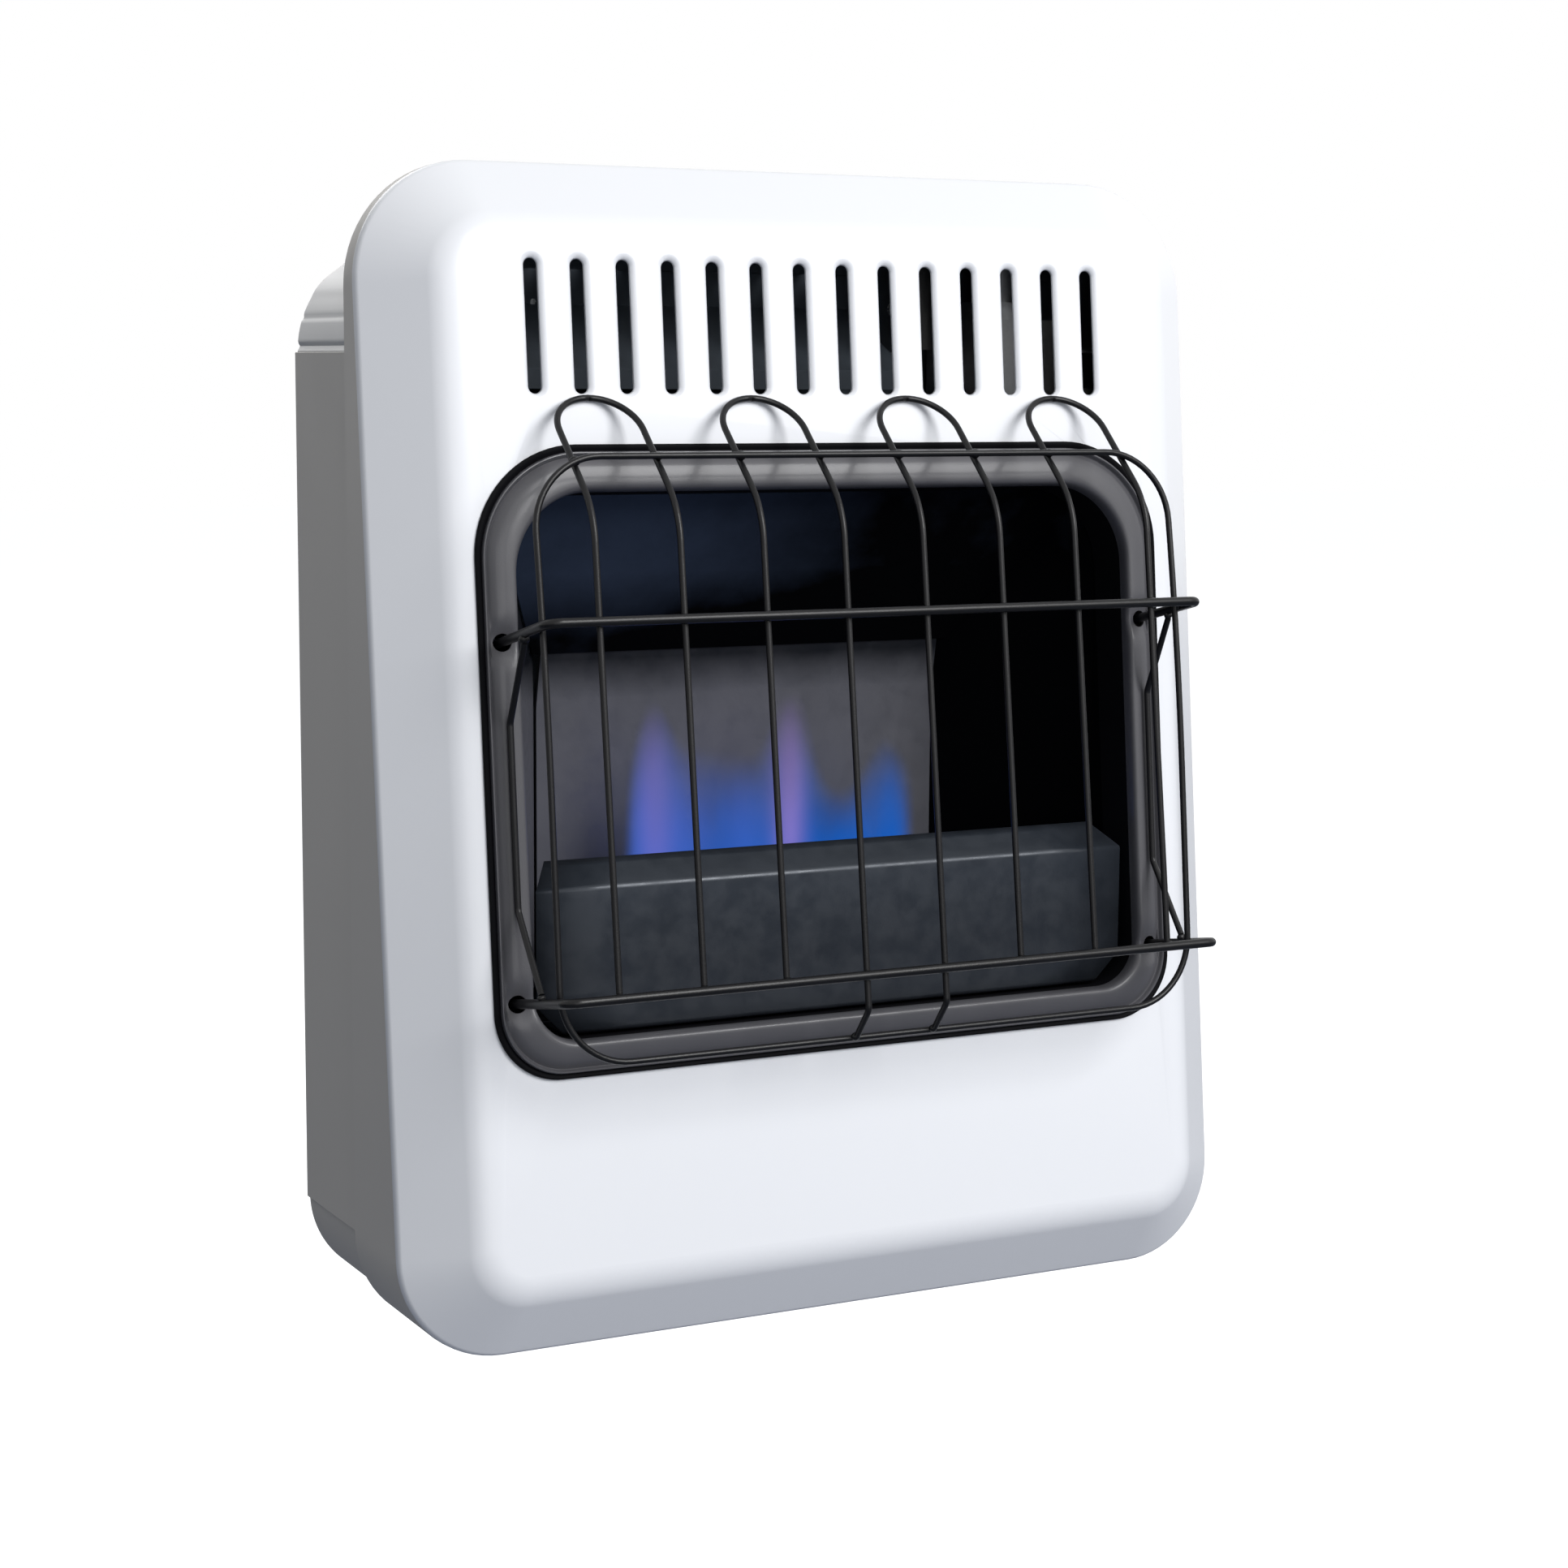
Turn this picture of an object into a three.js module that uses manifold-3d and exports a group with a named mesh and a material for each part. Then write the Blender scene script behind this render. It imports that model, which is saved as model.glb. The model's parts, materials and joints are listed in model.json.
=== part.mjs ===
// Wall-hung vent-free blue flame gas heater with a wire guard.
// Millimetres, +Z up, +X to the viewer's right, +Y into the wall.
// The origin is the middle of the wall bracket's rear face. Heights in this file are measured
// from the lowest edge of the front panel, and the last group moves the whole heater down to the origin.

import * as THREE from 'three';
import { mergeVertices } from 'three/addons/utils/BufferGeometryUtils.js';
import Module from 'manifold-3d';

const wasm = await Module();
wasm.setup();

// Front panel
const panel_width = 400;
const panel_height = 493;
const panel_radius = 51.3;
const panel_low_radius = 44.5;
const low_corner_share = 0.86;
const panel_sheet = 1.2;
const front_lean = THREE.MathUtils.degToRad(5.56);
const face_distance = 126;
const bevel_width = 29;
const bevel_depth = 26;
const crest_bend = 20;
const rim_bend = 5;

// Outlet slots in the front panel
const slot_count = 14;
const slot_margin = 66.7;
const slot_length = 54.6;
const slot_width = 5.2;
const slot_rise = 176.4;

// Bezel round the opening of the front panel
const bezel_margin = 36.4;
const bezel_height = 258.6;
const bezel_drop = 1;
const bezel_side = 17.2;
const bezel_top = 19.4;
const bezel_foot = 15.6;
const bezel_high_radius = 45.9;
const bezel_low_radius = 28.7;
const mouth_high_radius = 34;
const mouth_low_radius = 20;
const bezel_sheet = 1;
const bezel_crest = 4.6;
const bezel_throat = 22;

// Wire guard
const rod_diameter = 4;
const wire_diameter = 2.7;
const rod_inset = 9.9;
const upper_rod_hole = 48.8;
const lower_rod_hole = -97.7;
const upper_rod_lift = 6.7;
const lower_rod_lift = 4.7;
const upper_rod_reach = 49.5;
const lower_rod_reach = 54;
const rod_bend = 6;
const rod_tail = 6;
const rod_hole_radius = 3.2;
const upright_inset = 23.5;
const loop_count = 4;
const loop_top = 147;
const knee_height = 99;
const knee_bend = 36;
const hoop_foot = -120.5;
const hoop_top = 121.5;
const hoop_reach = 37;
const hoop_radius = 30;
const hoop_bow_start = -20;
const side_wire_middle = 38;
const side_wire_bend = 5;

// Sheet-steel case behind the panel
const case_sheet = 1;
const case_reach = 69;
const case_lap = 14;
const case_fall = 37.1;
const case_radius = 42.5;
const panel_slip = 1.1;
const seam_low_rise = 40.9;
const seam_high_fall = 43.1;
const seam_lap = 14;
const case_flange = 9;
const recess = 6;
const vent_count = 11;
const vent_width = 5;
const vent_length = 42;
const vent_margin = 47.7;
const vent_end_gap = 43;

// Wall bracket
const bracket_fall = 69.9;
const bracket_width = 240;
const bracket_tall = 34;
const bracket_sheet = 1.5;
const hook_width = 20;
const hook_inset = 40;
const hook_tall = 12;
const wall_hole_radius = 2.8;
const wall_hole_inset = 20;

// Clearances and overruns
const seat_gap = 0.3;
const slip = 0.5;
const overrun = 5;
const same_point = 0.001;

// Combustion chamber
const chamber_sheet = 1;
const chamber_back = 30.7;
const chamber_taper = 46.7;
const chamber_splay_end = 95;
const chamber_floor_step = 1.9;
const chamber_bend_rise = 124.4;
const chamber_back_rise = 149.4;
const chamber_back_lean = 5;
const rail_inset = 21;
const rail_flange = 12;
const rail_rises = { chamber_rail_lower: 38, chamber_rail_upper: 108 };

// Burner cover
const cover_side_gap = 5.7;
const cover_face = 129.1;
const cover_rise = 61.6;
const cover_slope_rise = 10;
const cover_slope_run = 13;
const cover_flange = 26;
const cover_corner = 9;
const cover_foot_corner = 13;

// Burner
const burner_depth = 66;
const burner_rise = 32;
const burner_inset = 62;
const burner_wide = 30;
const burner_tall = 24;
const burner_corner = 8;
const burner_wall = 1;
const venturi_radius = 11;
const throat_radius = 8.5;
const mouth_radius = 12.5;
const port_count = 28;
const port_width = 1.8;
const port_length = 9;
const deck_width = 14;
const deck_inset = 5;
const burner_bracket_inset = 20;
const burner_bracket_width = 14;
const bracket_foot = 11;

// Orifice
const orifice_radius = 5;
const orifice_tip_radius = 3;
const orifice_tip = 4;
const orifice_shank = 8;
const orifice_hex = 16;
const orifice_hex_long = 9;
const orifice_stand = 4;
const orifice_plate_tall = 30;
const orifice_plate_deep = 38;

// Pilot
const pilot_inset = 70;
const pilot_standoff = 15;
const pilot_spacing = 14;
const pilot_tip_rise = 20;
const pilot_bracket_rise = 30;
const pilot_bracket_width = 46;
const pilot_bracket_shelf = 14;
const pilot_radius = 3.6;
const electrode_radius = 3;
const electrode_pin_radius = 1;
const thermocouple_radius = 2.6;

// Gas valve, thermostat and knob
const valve_inset = 67.7;
const valve_depth = 36;
const valve_wide = 46;
const valve_deep = 50;
const valve_fall = 83.9;
const valve_tall = 58;
const valve_neck_radius = 11;
const valve_cap_radius = 17;
const valve_cap_tall = 8;
const stem_radius = 3.8;
const stem_bore_depth = 34;
const plunger_long = 7;
const knob_push = 3;
const knob_radius = 16;
const knob_skirt_radius = 20;
const knob_skirt_tall = 4;
const knob_tall = 22;
const knob_clearance = 4;
const knob_hold = 15;
const knob_flutes = 12;
const knob_flute_radius = 2.2;

// Control plate and piezo igniter
const control_plate_shift = 18;
const control_plate_wide = 88;
const control_plate_deep = 54;
const control_plate_sheet = 1.2;
const piezo_shift = 42;
const piezo_radius = 8;
const piezo_flange_radius = 10.5;
const piezo_flange_tall = 2;
const piezo_long = 40;
const button_radius = 5.5;
const button_cap_radius = 7;
const button_cap_tall = 3;
const button_travel = 6;
const button_spare = 1;

// Gas line
const gas_shift = 15;
const gas_depth = 46;
const regulator_radius = 25;
const regulator_bottom = 58;
const regulator_flange_tall = 5;
const regulator_dome_tall = 14;
const regulator_dome_radius = 17;
const regulator_port_radius = 9;
const regulator_port_tall = 9;
const supply_radius = 4.75;
const manifold_radius = 4;
const pilot_tube_radius = 2;
const lead_radius = 1.3;
const spark_wire_radius = 1.6;
const capillary_radius = 1.2;
const tube_bend = 12;
const inlet_radius = 8.5;
const inlet_bore = 5;
const inlet_hex = 22;
const inlet_hex_tall = 12;
const inlet_bottom = 8;
const inlet_hole_radius = 18;
const regulator_bracket_width = 40;
const regulator_bracket_flange = 15;

// Thermostat bulb
const bulb_radius = 3.2;
const bulb_length = 70;
const bulb_shift = 71;
const bulb_height = 70;
const bulb_depth = 14;
const clip_width = 10;

// Heat deflector behind the outlet slots
const deflector_end_gap = 22;
const deflector_flange = 16;
const deflector_fall = 5.9;
const deflector_run = 58;
const deflector_drop = 44;
const deflector_hem = 8;

// Screws
const screw_radius = 2;
const screw_head_radius = 4;
const screw_head_tall = 2.4;
const screw_length = 8;
const panel_screw_inset = 80;
const hanger_inset = 55;
const hanger_width = 16;
const hanger_lap = 12;
const hanger_lip = 9;

// Facets
const corner_steps = 6;
const bend_steps = 4;
const wire_sides = 8;
const round_sides = 24;

// Finishes
function paint(color, roughness, metalness) {
  return new THREE.MeshStandardMaterial({ color, roughness, metalness });
}
const white_enamel = paint('#eef0f4', 0.35, 0.05);
const dark_powder = paint('#3a3634', 0.55, 0.2);
const guard_powder = paint('#2b2827', 0.5, 0.2);
const grey_case = paint('#6f7072', 0.6, 0.3);
const light_case = paint('#a9abad', 0.5, 0.4);
const zinc = paint('#b4b8bc', 0.4, 0.9);
const soot_black = paint('#16171a', 0.7, 0.3);
const cover_black = paint('#23262b', 0.55, 0.4);
const stainless = paint('#9a9ea3', 0.35, 0.9);
const cast_alloy = paint('#9b9d9e', 0.5, 0.8);
const brass = paint('#b5893d', 0.35, 0.9);
const copper = paint('#a8633e', 0.35, 0.9);
const black_plastic = paint('#1b1b1c', 0.45, 0);
const ceramic = paint('#e6e1d6', 0.4, 0);
const red_plastic = paint('#8c2018', 0.4, 0);
const silicone = paint('#7c241c', 0.6, 0);

// Geometry helpers
const vec = (x, y, z) => new THREE.Vector3(x, y, z);
const flat = (x, y) => new THREE.Vector2(x, y);

// One welded closed mesh with its faces pointing out
function welded(geometry) {
  const bare = geometry.clone();
  bare.deleteAttribute('normal');
  bare.deleteAttribute('uv');
  const merged = mergeVertices(bare);
  const place = merged.getAttribute('position');
  const index = merged.getIndex().array;
  let volume = 0;
  const corner = [vec(0, 0, 0), vec(0, 0, 0), vec(0, 0, 0)];
  for (let i = 0; i < index.length; i += 3) {
    corner.forEach((point, k) => point.fromBufferAttribute(place, index[i + k]));
    volume += corner[0].dot(corner[1].clone().cross(corner[2]));
  }
  if (volume < 0) {
    for (let i = 0; i < index.length; i += 3) {
      [index[i], index[i + 1]] = [index[i + 1], index[i]];
    }
  }
  return merged;
}

function to_solid(geometry) {
  const shape = welded(geometry);
  const vertProperties = new Float32Array(shape.getAttribute('position').array);
  const triVerts = new Uint32Array(shape.getIndex().array);
  return new wasm.Manifold(new wasm.Mesh({ numProp: 3, vertProperties, triVerts }));
}

function to_geometry(solid) {
  const mesh = solid.getMesh();
  const geometry = new THREE.BufferGeometry();
  geometry.setAttribute('position', new THREE.BufferAttribute(new Float32Array(mesh.vertProperties), 3));
  geometry.setIndex(new THREE.BufferAttribute(new Uint32Array(mesh.triVerts), 1));
  return geometry;
}

const cut = (base, ...tools) => to_geometry(
  tools.reduce((solid, tool) => solid.subtract(to_solid(tool)), to_solid(base)),
);
const join = (base, ...others) => to_geometry(
  others.reduce((solid, other) => solid.add(to_solid(other)), to_solid(base)),
);

// A box between two opposite corners
function block(x0, x1, y0, y1, z0, z1) {
  const box = new THREE.BoxGeometry(x1 - x0, y1 - y0, z1 - z0);
  return box.translate((x0 + x1) / 2, (y0 + y1) / 2, (z0 + z1) / 2);
}

// Upright cylinder at (x, y) between two heights
function post(x, y, z0, z1, radius, sides = round_sides) {
  const cylinder = new THREE.CylinderGeometry(radius, radius, z1 - z0, sides);
  return cylinder.rotateX(Math.PI / 2).translate(x, y, (z0 + z1) / 2);
}

// Cylinder along X at (y, z) between two places
function bar(y, z, x0, x1, radius, sides = round_sides) {
  const cylinder = new THREE.CylinderGeometry(radius, radius, x1 - x0, sides);
  return cylinder.rotateZ(Math.PI / 2).translate((x0 + x1) / 2, y, z);
}

// Cylinder along Y at (x, z) between two places
function pin(x, z, y0, y1, radius, sides = round_sides) {
  return new THREE.CylinderGeometry(radius, radius, y1 - y0, sides).translate(x, (y0 + y1) / 2, z);
}

// A turned piece: (radius, height) steps round the upright axis at (x, y)
function turned(x, y, steps) {
  const profile = steps.map(([radius, height]) => flat(radius, height));
  return new THREE.LatheGeometry(profile, round_sides).rotateX(Math.PI / 2).translate(x, y, 0);
}

// Outline with round corners, counter-clockwise, in (across, up)
function round_rect(half_width, low, high, low_radius, high_radius, steps = corner_steps) {
  const corners = [
    [half_width - high_radius, high - high_radius, high_radius],
    [high_radius - half_width, high - high_radius, high_radius],
    [low_radius - half_width, low + low_radius, low_radius],
    [half_width - low_radius, low + low_radius, low_radius],
  ];
  return corners.flatMap(([x, z, radius], quarter) => {
    const arc = [];
    for (let i = 0; i <= steps; i += 1) {
      const angle = (quarter + i / steps) * Math.PI / 2;
      arc.push(flat(x + radius * Math.cos(angle), z + radius * Math.sin(angle)));
    }
    return arc;
  });
}

// Skin over a row of like rings, capped at both ends or closed on itself
function loft(rings, closed = false) {
  const count = rings[0].length;
  const spans = closed ? rings.length : rings.length - 1;
  const index = [];
  for (let ring = 0; ring < spans; ring += 1) {
    const here = ring * count;
    const next = ((ring + 1) % rings.length) * count;
    for (let i = 0; i < count; i += 1) {
      const j = (i + 1) % count;
      index.push(here + i, next + i, next + j, here + i, next + j, here + j);
    }
  }
  if (!closed) {
    const last = (rings.length - 1) * count;
    for (let i = 1; i < count - 1; i += 1) {
      index.push(0, i, i + 1);
      index.push(last, last + i + 1, last + i);
    }
  }
  const geometry = new THREE.BufferGeometry();
  const places = new Float32Array(rings.flat().flatMap((point) => point.toArray()));
  geometry.setAttribute('position', new THREE.BufferAttribute(places, 3));
  geometry.setIndex(index);
  return welded(geometry);
}

// Prisms from an outline: along Y from (x, z), along Z from (x, y), along X from (y, z)
function prism(outline, depth) {
  return new THREE.ExtrudeGeometry(new THREE.Shape(outline), { depth, bevelEnabled: false });
}
function prism_y(outline, y0, y1) {
  return prism(outline, y1 - y0).rotateX(Math.PI / 2).translate(0, y1, 0);
}
function prism_z(outline, z0, z1) {
  return prism(outline, z1 - z0).translate(0, 0, z0);
}
function prism_x(outline, x0, x1) {
  const turn = new THREE.Matrix4().makeBasis(vec(0, 1, 0), vec(0, 0, 1), vec(1, 0, 0));
  return prism(outline, x1 - x0).applyMatrix4(turn).translate(x0, 0, 0);
}

// The line that runs beside an open line, to its left by the distance
function beside(line, distance) {
  return line.map((point, i) => {
    const before = line[Math.max(i - 1, 0)];
    const after = line[Math.min(i + 1, line.length - 1)];
    const into = i > 0 ? point.clone().sub(before).normalize() : after.clone().sub(point).normalize();
    const out = i < line.length - 1 ? after.clone().sub(point).normalize() : into.clone();
    const side = flat(-into.y - out.y, into.x + out.x).normalize();
    const stretch = distance / side.dot(flat(-into.y, into.x));
    return point.clone().add(side.multiplyScalar(stretch));
  });
}

// Outline of a folded sheet: a fold line made thick to its left
const folded = (line, sheet) => [...line, ...beside(line, sheet).reverse()];

// Corner points joined by straights and round bends
function rounded_route(corners, bend, steps = bend_steps) {
  const stations = [corners[0].clone()];
  const add = (point) => {
    if (point.distanceTo(stations[stations.length - 1]) > same_point) {
      stations.push(point);
    }
  };
  for (let i = 1; i < corners.length - 1; i += 1) {
    const radius = Array.isArray(bend) ? bend[i - 1] : bend;
    const back = corners[i - 1].clone().sub(corners[i]).normalize();
    const ahead = corners[i + 1].clone().sub(corners[i]).normalize();
    const half_angle = Math.acos(back.dot(ahead)) / 2;
    const middle = back.clone().add(ahead).normalize().multiplyScalar(radius / Math.sin(half_angle));
    const centre = middle.add(corners[i]);
    const setback = radius / Math.tan(half_angle);
    const start = back.multiplyScalar(setback).add(corners[i]).sub(centre);
    const end = ahead.multiplyScalar(setback).add(corners[i]).sub(centre);
    const turn = Math.PI - 2 * half_angle;
    for (let k = 0; k <= steps; k += 1) {
      const share = k / steps;
      const from = start.clone().multiplyScalar(Math.sin((1 - share) * turn) / Math.sin(turn));
      const to = end.clone().multiplyScalar(Math.sin(share * turn) / Math.sin(turn));
      add(from.add(to).add(centre));
    }
  }
  add(corners[corners.length - 1].clone());
  return stations;
}

// A path through given stations, with a step of the sweep at each station
class Route extends THREE.Curve {
  constructor(stations) {
    super();
    this.stations = stations;
  }

  getPoint(t, target = new THREE.Vector3()) {
    const last = this.stations.length - 1;
    const i = Math.min(Math.floor(t * last), last - 1);
    return target.lerpVectors(this.stations[i], this.stations[i + 1], t * last - i);
  }

  getTangent(t, target = new THREE.Vector3()) {
    const last = this.stations.length - 1;
    const i = Math.round(t * last);
    const here = this.stations[i];
    const into = here.clone().sub(this.stations[Math.max(i - 1, 0)]).normalize();
    const out = this.stations[Math.min(i + 1, last)].clone().sub(here).normalize();
    return target.copy(into).add(out).normalize();
  }

  getUtoTmapping(u) {
    return u;
  }
}

function wire(corners, bend, radius, steps = bend_steps) {
  const stations = rounded_route(corners, bend, steps);
  const section = [];
  for (let i = 0; i < wire_sides; i += 1) {
    const angle = (i / wire_sides) * 2 * Math.PI;
    section.push(flat(radius * Math.cos(angle), radius * Math.sin(angle)));
  }
  return new THREE.ExtrudeGeometry(new THREE.Shape(section), {
    steps: stations.length - 1,
    extrudePath: new Route(stations),
  });
}

// The leaning front face: its own axes are across, into the heater and up along the face
const rim_depth = bevel_depth + rim_bend;
const face_middle = (panel_height / 2) * Math.cos(front_lean) + rim_depth * Math.sin(front_lean);
const face_frame = new THREE.Matrix4().makeRotationX(-front_lean).setPosition(0, -face_distance, face_middle);
const on_face = (x, out, up) => vec(x, -out, up).applyMatrix4(face_frame);
const face_y = (height) => -face_distance + (height - face_middle) * Math.tan(front_lean);

// Panel, bezel and guard
const half_panel = panel_width / 2;
const slot_pitch = (panel_width - 2 * slot_margin) / (slot_count - 1);
const bezel_width = panel_width - 2 * bezel_margin;
const half_spread = bezel_width / 2 - rod_inset;
const upright_pitch = (half_spread - upright_inset) / (loop_count - 1 / 2);

// Case, valve and gas line, measured from the case's right side and top
const half_case = half_panel - panel_sheet - panel_slip;
const inner_half = half_case - case_sheet - seat_gap;
const case_front = -case_reach - case_lap;
const case_floor = panel_sheet + panel_slip;
const case_height = panel_height - case_fall;
const case_low_radius = panel_low_radius - case_floor;
const seam_low = case_floor + seam_low_rise;
const seam_high = case_height - seam_high_fall;
const back_sheet_y = -recess - case_sheet;
const bracket_height = case_height - bracket_fall;
const hook_x = bracket_width / 2 - hook_inset;
const wall_hole_x = bracket_width / 2 - wall_hole_inset;
const valve_x = half_case - valve_inset;
const valve_bottom = case_height - valve_fall;
const piezo_x = valve_x - piezo_shift;
const control_plate_x = valve_x - control_plate_shift;
const gas_x = valve_x + gas_shift;
const vent_start = vent_margin - half_case;
const vent_pitch = (piezo_x - vent_end_gap - vent_start) / (vent_count - 1);

// Combustion chamber and burner, measured from the bezel's mouth
const mouth_half = bezel_width / 2 - bezel_side + bezel_sheet + seat_gap;
const mouth_low = on_face(0, -bezel_throat, -bezel_drop - bezel_height / 2 + bezel_foot);
const mouth_high = on_face(0, -bezel_throat, -bezel_drop + bezel_height / 2 - bezel_top);
const chamber_half_back = mouth_half - chamber_taper;
const chamber_floor = mouth_low.z + chamber_floor_step;
const cover_half_width = mouth_half - cover_side_gap;
const cover_top = chamber_floor + cover_rise;
const burner_height = chamber_floor + burner_rise;
const burner_half_length = cover_half_width - burner_inset;
const venturi_end = mouth_half;
const deck_length = 2 * (burner_half_length - deck_inset);
const port_pitch = deck_length / (port_count + 1);
const pilot_x = cover_half_width - pilot_inset;
const pilot_depth = burner_depth + burner_wide / 2 + pilot_standoff;
const pilot_tip = burner_height + pilot_tip_rise;

// The panel's skin: (inset from the rim, depth behind the face) down to where the side wall starts
const panel_profile = rounded_route(
  [
    flat(bevel_width + crest_bend, 0),
    flat(bevel_width, 0),
    flat(0, bevel_depth),
    flat(0, rim_depth),
  ],
  [crest_bend, rim_bend],
).slice(1);

function panel_ring(inset, depth) {
  const half = half_panel - inset;
  const rise = panel_height / 2 - inset;
  const low_radius = panel_low_radius - inset * low_corner_share;
  const ring = round_rect(half, -rise, rise, low_radius, panel_radius - inset);
  return ring.map((p) => on_face(p.x, -depth, p.y));
}

function panel_solid(profile, rear) {
  const rings = profile.map((p) => panel_ring(p.x, p.y));
  const rim = rings[rings.length - 1];
  return loft([...rings, rim.map((point) => vec(point.x, rear, point.z))]);
}

// Bezel outline part of the way in from its outer edge, as a share of each side's own width
function bezel_outline(share, grow = 0) {
  const low = -bezel_drop - bezel_height / 2 + share * bezel_foot - grow;
  const high = -bezel_drop + bezel_height / 2 - share * bezel_top + grow;
  const low_radius = THREE.MathUtils.lerp(bezel_low_radius, mouth_low_radius, share) + grow;
  const high_radius = THREE.MathUtils.lerp(bezel_high_radius, mouth_high_radius, share) + grow;
  return round_rect(bezel_width / 2 - share * bezel_side + grow, low, high, low_radius, high_radius);
}

const bezel_ring = (share, out, grow = 0) => bezel_outline(share, grow).map((p) => vec(p.x, -out, p.y));
const in_face = (geometry) => geometry.applyMatrix4(face_frame);
const panel_hole_share = 0.35;

function slot_tools() {
  const tools = [];
  const half = slot_length / 2;
  const radius = slot_width / 2;
  for (let i = 0; i < slot_count; i += 1) {
    const x = (i - (slot_count - 1) / 2) * slot_pitch;
    const outline = round_rect(radius, slot_rise - half, slot_rise + half, radius, radius, bend_steps);
    const placed = outline.map((p) => flat(p.x + x, p.y));
    tools.push(in_face(prism_y(placed, -overrun, overrun)));
  }
  return tools;
}

const panel_screw_y = -case_reach - case_lap / 2;
const screw_places = [panel_screw_inset - half_panel, half_panel - panel_screw_inset];

function screw_holes(z0, z1) {
  return screw_places.map((x) => post(x, panel_screw_y, z0, z1, screw_radius + seat_gap));
}

function front_panel() {
  const inner = beside(panel_profile, -panel_sheet);
  const shell = cut(panel_solid(panel_profile, -case_reach), panel_solid(inner, -case_reach + overrun));
  const opening = in_face(prism_y(bezel_outline(panel_hole_share), -overrun, overrun));
  return cut(shell, opening, ...slot_tools(), ...screw_holes(-overrun, case_floor));
}

// Face of the bezel from the lip to the throat, as (share of its width, height out of the panel)
const bezel_face_shares = [[0.16, 0.24], [0.24, 0.52], [0.5, 0.9], [0.78, 1], [0.93, 0.8], [1, 0.3]];

function bezel() {
  const lip = seat_gap + bezel_sheet;
  const front = bezel_face_shares.map(([share, rise]) => {
    const out = Math.max(lip, rise * bezel_crest);
    return bezel_ring(share, out);
  });
  const underside = bezel_face_shares.map(([share, rise]) => {
    const out = Math.max(seat_gap, rise * bezel_crest - bezel_sheet);
    const grow = share === 1 ? bezel_sheet : 0;
    return bezel_ring(share, out, grow);
  });
  const rings = [
    bezel_ring(0, seat_gap),
    bezel_ring(0, lip),
    ...front,
    bezel_ring(1, -bezel_throat),
    bezel_ring(1, -bezel_throat, bezel_sheet),
    ...underside.reverse(),
  ];
  const holes = [upper_rod_hole, lower_rod_hole].flatMap((up) => [-1, 1].map(
    (side) => pin(side * half_spread, up, -overrun, bezel_throat, rod_hole_radius),
  ));
  return cut(loft(rings, true), ...holes);
}

// Guard, in the face's own axes
const rod_radius = rod_diameter / 2;
const wire_radius = wire_diameter / 2;
const rod_drop = rod_radius + wire_radius + seat_gap;
const upper_rod_up = upper_rod_hole + upper_rod_lift;
const lower_rod_up = lower_rod_hole + lower_rod_lift;

function guard_rod(hole, lift, reach) {
  const tail = -rod_tail;
  const tail_up = hole + (lift * tail) / reach;
  return wire([
    vec(-half_spread, -tail, tail_up),
    vec(-half_spread, -reach, hole + lift),
    vec(half_spread, -reach, hole + lift),
    vec(half_spread, -tail, tail_up),
  ], rod_bend, rod_radius);
}

// The uprights stand just behind the rods, and their slope carries on up to the knee
const upright_slope = (lower_rod_reach - upper_rod_reach) / (upper_rod_up - lower_rod_up);
const upright_out = (up) => upper_rod_reach - rod_drop - (up - upper_rod_up) * upright_slope;
const knee_out = upright_out(knee_height);
const loop_top_out = wire_radius + seat_gap;
const loop_slope = (loop_top_out - knee_out) / (loop_top - knee_height);
const loop_out = (up) => knee_out + (up - knee_height) * loop_slope;

// The hoop bows back to pass just in front of the loops at its top bar
const loop_angle = Math.atan2(loop_top - knee_height, knee_out - loop_top_out);
const hoop_half = half_spread - rod_radius - wire_radius - seat_gap;
const outer_upright = (loop_count - 1 / 2) * upright_pitch;
const past_bend = outer_upright - (hoop_half - hoop_radius);
const bar_fall = hoop_radius - Math.sqrt(hoop_radius * hoop_radius - past_bend * past_bend);
const bar_reach = loop_out(hoop_top - bar_fall) + (wire_diameter + seat_gap) / Math.sin(loop_angle);
function hoop_out(up) {
  const share = Math.max(0, (up - hoop_bow_start) / (hoop_top - hoop_bow_start));
  return hoop_reach + (bar_reach - hoop_reach) * share * share;
}

const bow_shares = [0, 0.2, 0.4, 0.6, 0.8];

function guard_hoop() {
  const rings = [];
  for (let i = 0; i < wire_sides; i += 1) {
    const angle = (i / wire_sides) * 2 * Math.PI;
    const grow = wire_radius * Math.cos(angle);
    const out = wire_radius * Math.sin(angle);
    const radius = hoop_radius + grow;
    const outline = round_rect(hoop_half + grow, hoop_foot - grow, hoop_top + grow, radius, radius);
    const along = outline.flatMap((p, k) => {
      const next = outline[(k + 1) % outline.length];
      const long = Math.abs(p.y - next.y) > hoop_half / 2;
      return long ? bow_shares.map((share) => p.clone().lerp(next, share)) : [p];
    });
    rings.push(along.map((p) => vec(p.x, -hoop_out(p.y) - out, p.y)));
  }
  return loft(rings, true);
}

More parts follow.
